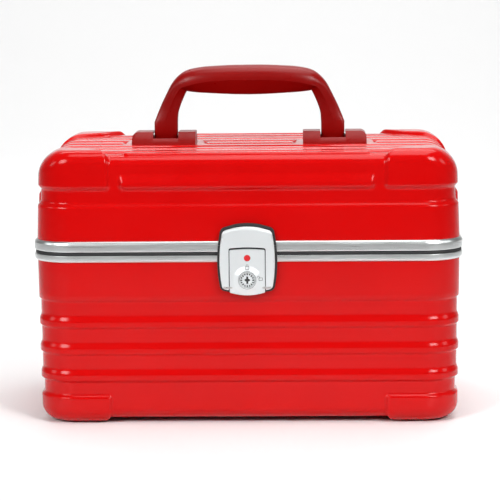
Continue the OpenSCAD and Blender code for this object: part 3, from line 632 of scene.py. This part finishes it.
def make_base_shell():
    floor = base_low[2]
    arc_z = floor + BASE_EDGE_R
    arc_r = float(base_wall_r(arc_z)) - BASE_EDGE_R
    rows = [(r, floor, 0, -1) for r in spaced([0.0, (1.5, arc_r)])[:-1]]
    rows += [(arc_r + BASE_EDGE_R * math.sin(a), arc_z - BASE_EDGE_R * math.cos(a), math.sin(a), -math.cos(a))
             for a in np.linspace(0, math.pi / 2, 19)]
    wall = spaced([arc_z, (0.9, 24), (0.75, 101), (4, base_high[2])])[1:]
    rows += [(float(base_wall_r(z)), z, 1, -BASE_DRAFT) for z in wall]
    inner = [(CORNER_R - WALL_T, base_high[2]), (CORNER_R - WALL_T, BASE_STRAIGHT_Z - 2),
             (CORNER_R - 4.7, 105), (CORNER_R - 4.9, 45), (CORNER_R - 5.5, 35), (CORNER_R - 5.8, 26)]
    inner_arc = BASE_EDGE_R - FACE_DEPTH - 2.3
    inner += arc(arc_r, arc_z, inner_arc, -inner_arc, 0, math.pi / 2, 7)
    xs = mirrored((8, 96), (1.2, CORNER_X))
    ys = mirrored((5, 45), (1.2, CORNER_Y))
    return moulded_shell("base_shell_skin", RED, xs, ys, 26, rows, inner, base_depth, -1)


place(make_lid_shell(), "lid", ["lid_shell"])
place(make_base_shell(), "base", ["base_shell"])


# ---------------- aluminium frame and seal

ring_columns = perimeter(np.array([-CORNER_X, 0.0, CORNER_X]), np.array([-CORNER_Y, 0.0, CORNER_Y]), 24)
outer_r = CORNER_R + FRAME_OUT
slot_out, slot_in, leg_in = CORNER_R + 0.1, CORNER_R - WALL_T - 0.1, CORNER_R - 4.2


def make_base_frame():
    low, high = BASE_BAND_Z
    outline = rounded(
        [(slot_out, low), (outer_r - 1.3, low), (outer_r - 0.15, low + 1.5), (outer_r, high),
         (leg_in, high), (leg_in, base_frame_low[2]), (slot_in, base_frame_low[2]),
         (slot_in, low + 2.4), (slot_out, low + 2.4)],
        [0.2, 0.4, 0.5, 0.35, 0.4, 0.5, 0.5, 0, 0])
    return ring("base_frame_profile", ALUMINIUM, outline, ring_columns)


def make_lid_frame():
    low, high = LID_BAND_Z
    outline = rounded(
        [(leg_in, low), (outer_r - 0.25, low), (outer_r, low + 0.7), (outer_r, high - 2.6),
         (outer_r - 0.75, high - 1.0), (outer_r - 1.5, high), (slot_out, high), (slot_out, low + 3.4),
         (slot_in, low + 3.4), (slot_in, lid_frame_high[2]), (leg_in, lid_frame_high[2])],
        [0.4, 0.25, 0.4, 0.5, 0.5, 0.5, 0.2, 0, 0, 0.5, 0.5])
    return ring("lid_frame_profile", ALUMINIUM, outline, ring_columns)


def make_seal():
    low, high = BASE_BAND_Z[1], LID_BAND_Z[0] - 0.3
    out, back = outer_r - 0.9, CORNER_R - 1.8
    outline = rounded(rectangle(back, out, low, high), [0.2, 0.2, 1.1, 0.6], 5)
    return ring("seal_strip", SEAL, outline, ring_columns)


place(make_base_frame(), "base", ["base_frame"])
place(make_lid_frame(), "lid", ["lid_frame"])
place(make_seal(), "base", ["frame_seal"])


# ---------------- plates, turned and lofted shapes

def inset_loop(loop, distance):
    """A counter-clockwise loop moved inwards by a distance."""
    loop = np.asarray(loop, float)
    before, after = loop - np.roll(loop, 1, axis=0), np.roll(loop, -1, axis=0) - loop
    before /= np.linalg.norm(before, axis=1)[:, None]
    after /= np.linalg.norm(after, axis=1)[:, None]
    n0 = np.stack([-before[:, 1], before[:, 0]], axis=1)
    n1 = np.stack([-after[:, 1], after[:, 0]], axis=1)
    middle = n0 + n1
    return loop + middle * (distance * 2 / np.maximum((middle ** 2).sum(axis=1), 0.5))[:, None]


def resampled(loop, step):
    """A closed loop with points added so that none of its edges is longer than step."""
    result = []
    for i, point in enumerate(loop):
        after = np.asarray(loop[(i + 1) % len(loop)], float)
        point = np.asarray(point, float)
        count = max(1, math.ceil(np.linalg.norm(after - point) / step))
        result += [point + (after - point) * k / count for k in range(count)]
    return np.array(result)


def inside(points, loop):
    """Whether each point lies in a closed loop."""
    x, z = points[:, 0], points[:, 1]
    hit = np.zeros(len(points), bool)
    for (ax, az), (bx, bz) in zip(loop, np.roll(loop, -1, axis=0)):
        crosses = (az > z) != (bz > z)
        if az != bz:
            hit ^= crosses & (x < (bx - ax) * (z - az) / (bz - az) + ax)
    return hit


def counter_clockwise(loop):
    loop = np.asarray(loop, float)
    after = np.roll(loop, -1, axis=0)
    area = (loop[:, 0] * after[:, 1] - after[:, 0] * loop[:, 1]).sum()
    return loop if area > 0 else loop[::-1]


def filled(loop, holes, step, extra):
    """Points and triangles that fill a loop round its holes, on a grid with extra points of its own."""
    low, high = loop.min(axis=0), loop.max(axis=0)
    gx, gz = np.meshgrid(*(np.arange(a + step / 2, b, step) for a, b in zip(low, high)))
    grid = np.column_stack([gx.ravel(), gz.ravel()])
    if len(extra):
        extra = np.asarray(extra, float)
        gap = grid[:, None] - extra[None]
        grid = np.concatenate([grid[np.min(np.hypot(gap[..., 0], gap[..., 1]), axis=1) > 0.7 * step], extra])
    keep = inside(grid, inset_loop(loop, 0.3 * step))
    for hole in holes:
        keep &= ~inside(grid, inset_loop(hole, -0.3 * step))
    flat = np.concatenate([loop, *holes, grid[keep]])
    edges, start = [], 0
    for closed in (loop, *holes):
        edges += [(start + i, start + (i + 1) % len(closed)) for i in range(len(closed))]
        start += len(closed)
    result = delaunay_2d_cdt([Vector(p) for p in flat], edges, [], 0, 1e-5)
    points = np.array([tuple(p) for p in result[0]])
    centres = np.array([points[list(f)].mean(axis=0) for f in result[2]])
    shown = inside(centres, loop)
    for hole in holes:
        shown &= ~inside(centres, hole)
    return points, [f for f, ok in zip(result[2], shown) if ok]


def plate(name, material, outline, back_y, face, edge_r, holes=(), step=1.0, extra=(), side=-1, sharp=35):
    """A plate that stands on the case's front (side -1) or rear (side 1).

    outline is a loop of (x, z), face(x, z) is the height of its surface, as Y, edge_r rounds its outer
    edge, and holes are loops cut through it."""
    def standing(loop, y):
        return np.column_stack([loop[:, 0], np.broadcast_to(y, len(loop)), loop[:, 1]])

    outer = resampled(counter_clockwise(outline), step)
    holes = [resampled(counter_clockwise(hole), step) for hole in holes]
    rows = [standing(outer, back_y)]
    for angle in np.linspace(0, math.pi / 2, 5):
        loop = inset_loop(outer, edge_r * (1 - math.cos(angle)))
        rows.append(standing(loop, face(loop[:, 0], loop[:, 1]) - side * edge_r * (1 - math.sin(angle))))
    faces = grid_faces(len(rows), len(outer), closed=True)
    points, triangles = filled(loop, holes, step, extra)
    rows.append(standing(points, face(points[:, 0], points[:, 1])))
    base = 6 * len(outer)
    faces += [[base + i for i in f] for f in triangles]
    base += len(points)
    for hole in holes:
        rows += [standing(hole, face(hole[:, 0], hole[:, 1])), standing(hole, back_y)]
        faces += grid_faces(2, len(hole), closed=True, start=base)
        base += 2 * len(hole)
    if not holes:
        faces.append(range(len(outer)))
    return add_object(name, np.concatenate(rows), faces, material, sharp)


def level(y):
    """A flat face for a plate."""
    return lambda x, z: np.full(len(x), float(y))


def loft(name, material, sections, sharp=35):
    """Closed sections of the same number of (x, y, z) points, joined one to the next and capped."""
    count = len(sections[0])
    verts = np.concatenate(sections)
    faces = grid_faces(len(sections), count, closed=True)
    faces += [range(count), range(len(verts) - count, len(verts))]
    return add_object(name, verts, faces, material, sharp)


def turned(name, material, profile, centre, axis, segments=40):
    """A profile of (radius, height) turned about an "x", "y" or "z" axis through a point."""
    angles = np.arange(segments) / segments * TAU
    sections = []
    for radius, height in profile:
        coordinates = [radius * np.cos(angles), radius * np.sin(angles)]
        coordinates.insert("xyz".index(axis), np.full(segments, height))
        sections.append(np.column_stack(coordinates) + centre)
    return loft(name, material, sections)


# ---------------- latch

BEZEL_BACK_Y, BEZEL_FACE_Y = -107.55, -109.6
LEVER_BACK_Y, LEVER_FACE_Y = -109.9, -113.0
LOCK_FACE_Y, DOME_Y = -112.2, -114.1
WIDEST_Z = 133.0
LEVER_LOW_Z = 110.45
LOCK_HALF = 14.0
FOOT_RELIEF = 1.0
KEY_Z, KEY_R, KEY_HOLE_R = 118.2, 5.9, 6.35
DOT_Z, DOT_HOLE_R = 135.6, 2.65
TICKS = 16
MARK_BACK_Y = -111.9


def barrel(half, z):
    return half - 3 * ((z - WIDEST_Z) / 27) ** 2


def barrel_outline(half, bottom, side_top, top, top_r, low_r):
    """Barrel-sided loop with an arched top, from its lower right corner round to its lower left."""
    zs = [bottom, *np.linspace(bottom + 2.3 * low_r, side_top - 2.3 * top_r, 11), side_top]
    right = [(barrel(half, z), z) for z in zs]
    half_top = right[-1][0]
    flank = 1 - 2.3 * top_r / half_top
    arch = [(half_top * t, top - (top - side_top) * t * t) for t in np.linspace(flank, -flank, 9)]
    left = [(-x, z) for x, z in right[::-1]]
    radii = [low_r] + [0] * 11 + [top_r] + [0] * 9 + [top_r] + [0] * 11 + [low_r]
    return right + arch + left, radii


def clipped(loop, keep_above, z):
    """The part of a convex loop above or below a height."""
    result = []
    for (ax, az), (bx, bz) in zip(loop, list(loop[1:]) + [loop[0]]):
        a_in, b_in = ((az > z) == keep_above), ((bz > z) == keep_above)
        if a_in:
            result.append((ax, az))
        if a_in != b_in:
            result.append((ax + (bx - ax) * (z - az) / (bz - az), z))
    return result


def circle_loop(x, z, radius, count=40):
    angles = [TAU * i / count for i in range(count)]
    return [(x + radius * math.cos(a), z + radius * math.sin(a)) for a in angles]


def key_rings(radii, count):
    """Points on circles about the key's axis."""
    angles = np.linspace(0, TAU, count + 1)[:-1]
    return [(r * math.cos(a), KEY_Z + r * math.sin(a)) for r in radii for a in angles]


def lever_crease_z(x):
    return 158.1 - 3.0 * (x / 19) ** 2


def lever_face(x, z):
    """Crowned across and along, with a bevel that falls back under the arched top."""
    crown = 1.0 * (x / 22) ** 2 + 0.5 * ((z - 138) / 24) ** 2
    return LEVER_FACE_Y + crown + 0.55 * np.maximum(z - lever_crease_z(x), 0)


def surround_face(x, z):
    """Flat, with a step back under the lever's feet, where they swing in as it opens."""
    under_foot = ramp(13.9, 14.3, np.abs(x)) * (1 - ramp(113.2, 113.8, z))
    return BEZEL_FACE_Y + FOOT_RELIEF * under_foot


def lock_face(x, z):
    away = np.hypot(x, z - KEY_Z)
    return LOCK_FACE_Y + 0.25 * (x / LOCK_HALF) ** 2 + (DOME_Y - LOCK_FACE_Y) * (1 - ramp(6.6, 12.2, away))


def plug_face(x, z):
    away = np.hypot(x, z - KEY_Z)
    groove = ramp(3.6, 3.9, away) * (1 - ramp(5.5, 5.7, away))
    return DOME_Y + 0.3 + 0.3 * groove + 0.5 * (1 - ramp(1.5, 3.0, away))


def tick_face(x, z):
    return plug_face(x, z) - 0.05


def mark_face(x, z):
    return lock_face(x, z) - 0.06


def sector(inner, outer, angle, spread):
    """Loop round a small part of the ring between two radii about the key's axis."""
    corners = [(inner, -spread / 2), (outer, -spread / 2), (outer, spread / 2), (inner, spread / 2)]
    return [(r * math.cos(angle + a), KEY_Z + r * math.sin(angle + a)) for r, a in corners]


def make_surround():
    """The dark surround, split between the base and the lid, with a window through its top."""
    outline, radii = barrel_outline(23.8, 109.3, side_top=158.8, top=162.8, top_r=5.0, low_r=4.6)
    whole = rounded(outline + [(-LOCK_HALF, 108), (LOCK_HALF, 108)], radii + [0, 0], 6)
    window = rectangle(-9, 9, 147.6, 154.6)
    for name, above, face_z, back_z, holes, body, node in (
        ("latch_surround_lower", False, 145.2, 131.5, [], "base", "latch_bezel_lower"),
        ("latch_surround_upper", True, 145.5, 148.7, [window], "lid", "latch_bezel_upper"),
    ):
        face = plate(name, BEZEL, clipped(whole, above, face_z), BEZEL_BACK_Y, surround_face, 0.6, holes)
        back = plate("block", BEZEL, clipped(whole, above, back_z), -104.6, level(BEZEL_BACK_Y), 0.2,
                     holes, 2.5)
        place(joined(name, [face, back]), body, [node])


def make_lever():
    """The lever: creased under its arched top, and cut out below round the lock's cover."""
    outline, radii = barrel_outline(21.9, LEVER_LOW_Z + 0.4, side_top=156.9, top=160.5, top_r=4.0, low_r=3.4)
    half_gap = LOCK_HALF + 0.6
    bow = [(half_gap * t, 144.2 - 0.9 * t * t) for t in np.linspace(-1, 1, 11)]
    loop = outline + [(-half_gap, LEVER_LOW_Z - 0.6)] + bow + [(half_gap, LEVER_LOW_Z - 0.6)]
    radii = radii + [0.7, 1.6] + [0] * 9 + [1.6, 0.7]
    crease = [(x, lever_crease_z(x)) for x in np.arange(-18.4, 18.5, 0.8)]
    lever = plate("lever_shape", SILVER, rounded(loop, radii, 6), LEVER_BACK_Y, lever_face, 0.6, step=0.9,
                  extra=crease, sharp=20)
    place(lever, "latch_lever", ["latch_lever"])


def make_lock_cover():
    """The lock's fixed cover, domed round the key and pierced for it and for the indicator."""
    bow = [(LOCK_HALF * t, 105.8 + 2.2 * t * t) for t in np.linspace(-1, 1, 13)]
    crest = [(LOCK_HALF * t, 142.7 - 0.8 * t * t) for t in np.linspace(1, -1, 13)]
    radii = [0.9] + [0] * 11 + [0.9, 1.3] + [0] * 11 + [1.3]
    holes = [circle_loop(0, KEY_Z, KEY_HOLE_R), circle_loop(0, DOT_Z, DOT_HOLE_R, 28)]
    cover = plate("lock_cover", SILVER, rounded(bow + crest, radii, 5), BEZEL_FACE_Y, lock_face, 0.5, holes,
                  0.9, key_rings(np.arange(6.8, 12.4, 0.7), 48), sharp=30)
    place(cover, "base", ["lock_plate"])


def make_key():
    """The key's cylinder: a cross-shaped keyway with a dark cylinder behind it as painted shadow, and dark
    marks round it as painted shade in its notches.
    """
    half_slot = [(0.8, -3.1), (0.8, -1.2), (2.1, -0.7), (2.1, 0.7), (0.8, 1.2), (0.8, 3.1)]
    slot = half_slot + [(-x, -z) for x, z in half_slot]
    keyway = rounded([(x, KEY_Z + z) for x, z in slot], 0.3, 3)
    plug = plate("key_cylinder", SILVER, circle_loop(0, KEY_Z, KEY_R, 48), -109.1, plug_face, 0.25, [keyway],
                 0.5, key_rings(np.arange(1.2, 5.7, 0.3), 84), sharp=25)
    place(plug, "key_plug", ["key_plug"])
    # painted shadow: a dark cylinder behind the keyway stands in for the shade inside it
    dark = turned("keyway_shadow", DARK_PRINT_AND_SHADE, [(4.6, -112.0), (4.6, -110.2)], (0, 0, KEY_Z), "y", 32)
    place(dark, "key_plug", [])
    # painted shade: flat dark marks stand in for the shade inside the cylinder's notches, which are not cut
    loops = [sector(4.0 + 0.3 * (i % 2), 5.5, TAU * i / TICKS, 0.23) for i in range(TICKS)]
    ticks = [plate("tick", DARK_PRINT_AND_SHADE, loop, -112.9, tick_face, 0.02, step=0.5) for loop in loops]
    place(joined("key_cylinder_notch_shade", ticks), "key_plug", [])


def make_indicator():
    """The indicator's dot, sunk in the cover."""
    profile = [(2.55, -111.7), (2.55, -112.2), (2.2, -112.4), (1.1, -112.5), (0.2, -112.52)]
    dot = turned("status_dot", DOT, profile, (0, 0, DOT_Z), "y", 32)
    place(dot, "base", ["lock_indicator"])


def make_padlock_marks():
    """Closed and open padlock outlines and a ring round the key, a hair above the lock plate."""
    def mark(loop, holes=()):
        return plate("mark", DARK_PRINT_AND_SHADE, loop, MARK_BACK_Y, mark_face, 0.02, holes, 0.5)

    marks = []
    for x, z, swing in ((0.0, 128.3, 0.0), (10.6, 119.2, 1.9)):
        body = rounded(rectangle(x - 1.5, x + 1.5, z - 1.6, z + 0.8), 0.35, 3)
        core = rounded(rectangle(x - 1.2, x + 1.2, z - 1.3, z + 0.5), 0.2, 2)
        shackle = arc(x - swing, z + 0.85, 1.05, 1.4, 0, math.pi, 9)
        shackle += arc(x - swing, z + 0.85, 0.78, 1.1, math.pi, 0, 9)
        marks += [mark(body, [core]), mark(shackle)]
    marks.append(mark(circle_loop(0, KEY_Z, 7.15), [circle_loop(0, KEY_Z, 6.9)]))
    place(joined("padlock_marks", marks), "base", [])


make_surround()
make_lever()
make_lock_cover()
make_key()
make_indicator()
make_padlock_marks()


# ---------------- handle and its mounts

LEG_HALF_Y = 6.1
# Half of the arch from the right leg's end to the middle:
# inner x and z, outer x and z, half width, crease position, share of the grip's section
ARCH = np.array([
    *((59.7, z, 79.1, z, half, 0.05, 0.0)
      for z, half in ((218.7, 1.6), (219.8, 3.3), (221.5, 4.7), (224.5, 5.5), (229.0, 6.0))),
    (59.6, 235.2, 79.1, 235.4, LEG_HALF_Y, 0.05, 0.1),
    (59.0, 243.0, 75.9, 243.6, LEG_HALF_Y, 0.03, 0.35),
    (56.8, 250.0, 72.7, 251.0, 6.8, 0.0, 0.6),
    (54.4, 255.8, 69.0, 258.6, 8.0, -0.05, 0.8),
    (52.0, 260.6, 64.2, 267.6, 9.6, -0.18, 0.95),
    (50.6, 260.9, 58.6, 274.0, 10.8, -0.35, 1.0),
    (48.0, 260.5, 51.6, 278.4, 11.8, -0.34, 1.0),
    (40.9, 259.8, 40.6, 280.8, 12.6, -0.2, 1.0),
    (28.0, 259.0, 28.0, 281.8, 13.0, -0.07, 1.0),
    (14.0, 258.3, 14.0, 282.4, 13.0, 0.0, 1.0),
    (0.0, 258.0, 0.0, 282.5, 13.0, 0.0, 1.0),
])


def smooth_rows(rows, steps):
    """A Catmull-Rom curve through rows of numbers."""
    rows = np.asarray(rows, float)
    padded = np.concatenate([[2 * rows[0] - rows[1]], rows, [2 * rows[-1] - rows[-2]]])
    result = []
    for i in range(1, len(padded) - 2):
        p0, p1, p2, p3 = padded[i - 1:i + 3]
        for t in np.arange(steps) / steps:
            result.append(0.5 * (2 * p1 + (p2 - p0) * t + (2 * p0 - 5 * p1 + 4 * p2 - p3) * t * t
                                 + (3 * p1 - p0 - 3 * p2 + p3) * t ** 3))
    return np.array(result + [rows[-1]])


def handle_section(row):
    """Section of the handle: rounded above the crease, and leaning in below it on the grip."""
    inner, outer, (half, crease, grip) = row[:2], row[2:4], row[4:]
    low_u = crease - (1 + crease) * np.sin(np.linspace(math.pi / 2, 0, 13))
    high_u = crease + (1 - crease) * np.sin(np.linspace(0, math.pi / 2, 20)[1:])
    u = np.concatenate([low_u, high_u])
    above = np.clip((u - crease) / (1 - crease), 0, 1)
    below = np.clip((crease - u) / (1 + crease), 0, 1)
    power = 9 - 6.7 * grip
    on_leg = 4 * grip * (1 - grip)
    shape = (1 - above ** power) ** (1 / power) * (1 - 0.42 * grip * below) * (1 - 0.4 * on_leg * above)
    shape = shape * np.where(u < 0, (1 - np.minimum(np.abs(u), 1) ** 9) ** (1 / 9), 1)
    middle = inner + (outer - inner) * ((u + 1) / 2)[:, None]
    front = np.column_stack([middle[:, 0], -half * shape, middle[:, 1]])
    back = front * (1, -1, 1)
    return np.concatenate([front, back[-2:0:-1]])


def make_handle():
    start = 5
    curve = np.concatenate([ARCH[:start], smooth_rows(ARCH[start:], 5)])
    right = [handle_section(row) for row in curve]
    left = [section * np.array([-1, 1, 1]) for section in right[-2::-1]]
    handle = loft("handle_grip", HANDLE, right + left, 16)
    place(handle, "handle", ["handle"])


MOUNT_SLOPE = 9.6 / 7.4
MOUNT_FOOT, MOUNT_EDGE = (17.9, 218.05), (17.6, 219.0)


def mount_section(x, top, inner_y=None):
    """Section of a mount across the case: from face to face, or from its face to the notch's side."""
    shoulder = MOUNT_EDGE[0] - (top - MOUNT_EDGE[1]) / MOUNT_SLOPE
    half = [MOUNT_FOOT, MOUNT_EDGE, (shoulder + 0.25, top - 0.5), (shoulder - 0.35, top)]
    front = [(x, -y, z) for y, z in half]
    if inner_y is None:
        return front + [(x, y, z) for y, z in half[::-1]]
    wall = [(inner_y + 0.3, top), (inner_y, top - 0.3), (inner_y, 218.4), (inner_y, 218.05)]
    return front + [(x, -y, z) for y, z in wall]


def make_mount(name, side, node):
    """Two solid blocks, and the low walls of the notch between them, where the leg stands."""
    x0, x1, notch0, notch1, top = 44.5, 97.2, 58.9, 79.9, 227.7
    wall_top, wall_y, end_r = 222.6, 12.4, 5.0

    def block(stations, inner_y=None, facing=1):
        sections = [[(side * x, facing * y, z) for x, y, z in mount_section(x, z_top, inner_y)]
                    for x, z_top in stations]
        return loft("block", HANDLE, sections, 30)

    inner_end = [(x0, top - 0.5), (x0 + 0.15, top - 0.15), (x0 + 0.5, top),
                 (notch0 - 0.4, top), (notch0 - 0.1, top - 0.12), (notch0, top - 0.4)]
    outer_end = [(notch1, top - 0.4), (notch1 + 0.1, top - 0.12), (notch1 + 0.4, top)]
    outer_end += arc(x1 - end_r, top - end_r, end_r, end_r, math.pi / 2, math.pi / 2 - 1.5, 9)
    walls = [(notch0, wall_top), (notch1, wall_top)]
    parts = [block(inner_end), block(outer_end), block(walls, wall_y), block(walls, wall_y, -1)]
    place(joined(name, parts, 30), "lid", [node])


make_handle()
make_mount("mount_pad_right", 1, "handle_mount_right")
make_mount("mount_pad_left", -1, "handle_mount_left")


# ---------------- hinges, rivets and feet

HINGE_X, HINGE_W, HINGE_Y, HINGE_Z, KNUCKLE_R = 100.0, 44.0, 111.0, 138.6, 3.2
LEAF_BACK_Y, LEAF_FACE_Y = 107.6, 109.3


def knuckle(x0, x1):
    profile = [(1.55, x0), (2.8, x0), (KNUCKLE_R, x0 + 0.4), (KNUCKLE_R, x1 - 0.4), (2.8, x1), (1.55, x1)]
    return turned("knuckle", ALUMINIUM, profile, (0, HINGE_Y, HINGE_Z), "x", 32)


def make_hinge_leaf(name, side, upper, nodes, body):
    """Half of a hinge: its rounded leaf and the knuckles that belong to it."""
    middle, half = side * HINGE_X, HINGE_W / 2
    if upper:
        leaf_z, pad_z, far_z, radii = (143.0, 166.4), (148.6, 166.2), 144.5, [0.6, 0.6, 5, 5]
        spans, out = [(-half + 12.3, half - 12.3)], 1
    else:
        leaf_z, pad_z, far_z, radii = (113.8, 134.2), (114.0, 131.6), 132.8, [5, 5, 0.6, 0.6]
        spans, out = [(-half, -half + 12), (half - 12, half)], -1
    leaf = rounded(rectangle(middle - half, middle + half, *leaf_z), radii, 6)
    pad = rectangle(middle - half + 0.5, middle + half - 0.5, *pad_z)
    parts = [plate("leaf", ALUMINIUM, leaf, LEAF_BACK_Y, level(LEAF_FACE_Y), 0.5, step=2.5, side=1),
             plate("pad", ALUMINIUM, pad, 104.7, level(LEAF_BACK_Y), 0.1, step=4, side=1)]
    near_z = HINGE_Z + out * 1.2
    web = [(HINGE_Y - 2.9, near_z), (HINGE_Y - 0.4, near_z + out * 1.6),
           (LEAF_FACE_Y - 0.1, far_z), (LEAF_BACK_Y, far_z)]
    for a, b in spans:
        parts.append(knuckle(middle + a, middle + b))
        sections = [[(x, y, z) for y, z in web] for x in (middle + a, middle + b)]
        parts.append(loft("web", ALUMINIUM, sections, 30))
    place(joined(name, parts), body, nodes)


def dome(x, y, z, radius, height):
    """Rivet head that stands out of a rear plate."""
    profile = [(radius, -0.2)] + arc(0, 0, radius, height, 0.05, 1.5, 8)
    return turned("head", STEEL, profile, (x, y, z), "y", 24)


def make_rivets(name, z, node, body):
    """The rivets of both hinges in one shell: heads outside it and tails inside it."""
    xs = [side * HINGE_X + dx for side in (-1, 1) for dx in (-13, 13)]
    tail = [(2.6, 100.9), (2.2, 100.2), (0.8, 99.9), (0.2, 99.9)]
    parts = [dome(x, LEAF_FACE_Y, z, 2.8, 1.1) for x in xs]
    parts += [turned("tail", STEEL, tail, (x, 0, z), "y", 20) for x in xs]
    place(joined(name, parts), body, [node])


for side, word in ((-1, "left"), (1, "right")):
    make_hinge_leaf("hinge_leaf_lower_" + word, side, False, ["hinge_base_" + word], "base")
    make_hinge_leaf("hinge_leaf_upper_" + word, side, True, ["hinge_lid_" + word], "lid")
make_rivets("hinge_heads_lower", 121.8, "hinge_rivets_base", "base")
make_rivets("hinge_heads_upper", 158.4, "hinge_rivets_lid", "lid")


def make_feet():
    edge = [(7.6, 2.2), (8.9, 2.0), (9.0, 1.3), (8.6, 0.5), (7.8, 0.0)]
    profile = edge + [(5.2, 0.0), (4.7, 0.35), (0.3, 0.35)]
    feet = [turned("foot", FEET, profile, (sx * CORNER_X, sy * CORNER_Y, 0), "z", 40)
            for sx in (-1, 1) for sy in (-1, 1)]
    place(joined("foot_discs", feet), "base", ["feet"])


make_feet()


# ---------------- cloth linings

LINING_R = CORNER_R - 6.4
LINING_BEND = 14.0
LINING_TUCK = 3.4


def lining_cut(straight):
    """Flat size and area, in metres, of a lining's cut: its floor, and a flap up each side and corner."""
    turn = LINING_BEND * math.pi / 2
    floor_r = LINING_R - LINING_BEND
    half_x, half_y = CORNER_X + floor_r, CORNER_Y + floor_r
    area = 4 * half_x * half_y - (4 - math.pi) * floor_r ** 2
    area += 4 * (CORNER_X + CORNER_Y) * (straight + turn)
    area += TAU * LINING_R * straight + TAU * (floor_r + 2 * LINING_BEND / math.pi) * turn
    flat = (2 * (half_x + straight + turn) * MM, 2 * (half_y + straight + turn) * MM)
    return flat, area * MM * MM


def slack(points, phase):
    """How far cloth stands off a flat floor, in slow waves."""
    x, y = points[:, 0], points[:, 1]
    waves = (np.sin(x * k + y * k * 0.8 + p) for k, p in zip((0.05, 0.083, 0.021), phase))
    return 0.35 * np.abs(sum(waves) / 3)


def make_lining(name, node, body, top_z, wall_z, open_up):
    """Cloth glued over the inside of a shell: an edge tucked under the frame, walls, a rounded turn and
    the floor or roof."""
    wall_r, bend, tuck = LINING_R, LINING_BEND, LINING_TUCK
    sign = -1 if open_up else 1
    rows = [(wall_r + tuck * (1 - math.sin(a)), wall_z + sign * tuck * (1 - math.cos(a)))
            for a in np.linspace(0, math.pi / 2, 6)[:-1]]
    rows += [(wall_r, z) for z in np.linspace(wall_z + sign * tuck, top_z - sign * bend, 16)]
    rows += arc(wall_r - bend, top_z - sign * bend, bend, sign * bend, 0, math.pi / 2, 8)[1:]
    rows.append((0.0, top_z))
    xs, ys = mirrored((4, CORNER_X)), mirrored((4, CORNER_Y))
    columns = perimeter(xs, ys, 16)
    points = swept(columns, rows)
    verts = np.concatenate([points, flat_grid(xs, ys, top_z)])
    rng = np.random.default_rng(7 if open_up else 8)
    phase = rng.uniform(0, TAU, 6)
    verts[:, 2] -= sign * slack(verts, phase) * (np.abs(verts[:, 2] - top_z) < 0.1)
    faces = grid_faces(len(rows), len(columns[0]), closed=True)
    faces += grid_faces(len(ys), len(xs), start=len(points))
    cloth = add_object(name, verts, faces, LINING, 60)
    place(cloth, body, [node])
    flat, area = lining_cut(abs(top_z - wall_z) - bend - tuck + tuck * math.pi / 2)


make_lining("base_lining_cloth", "base_lining", "base", 8.0, 125.2, True)
make_lining("lid_lining_cloth", "lid_lining", "lid", 209.6, 150.8, False)

# CAD nodes that are shown as they are
for material, nodes in (
    (ALUMINIUM, ("base_splice", "lid_splice", "base_rivets", "lid_rivets", "handle_backplates")),
    (STEEL, ("hinge_pins", "lever_pins", "lever_springs", "lock_screws", "bezel_screws", "handle_pins",
             "handle_screws", "latch_keeper", "lever_hook", "lock_cam")),
    (BEZEL, ("mirror_frame",)),
    (MIRROR, ("mirror_glass",)),
):
    for node in nodes:
        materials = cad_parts[node].data.materials
        materials.clear()
        materials.append(material)
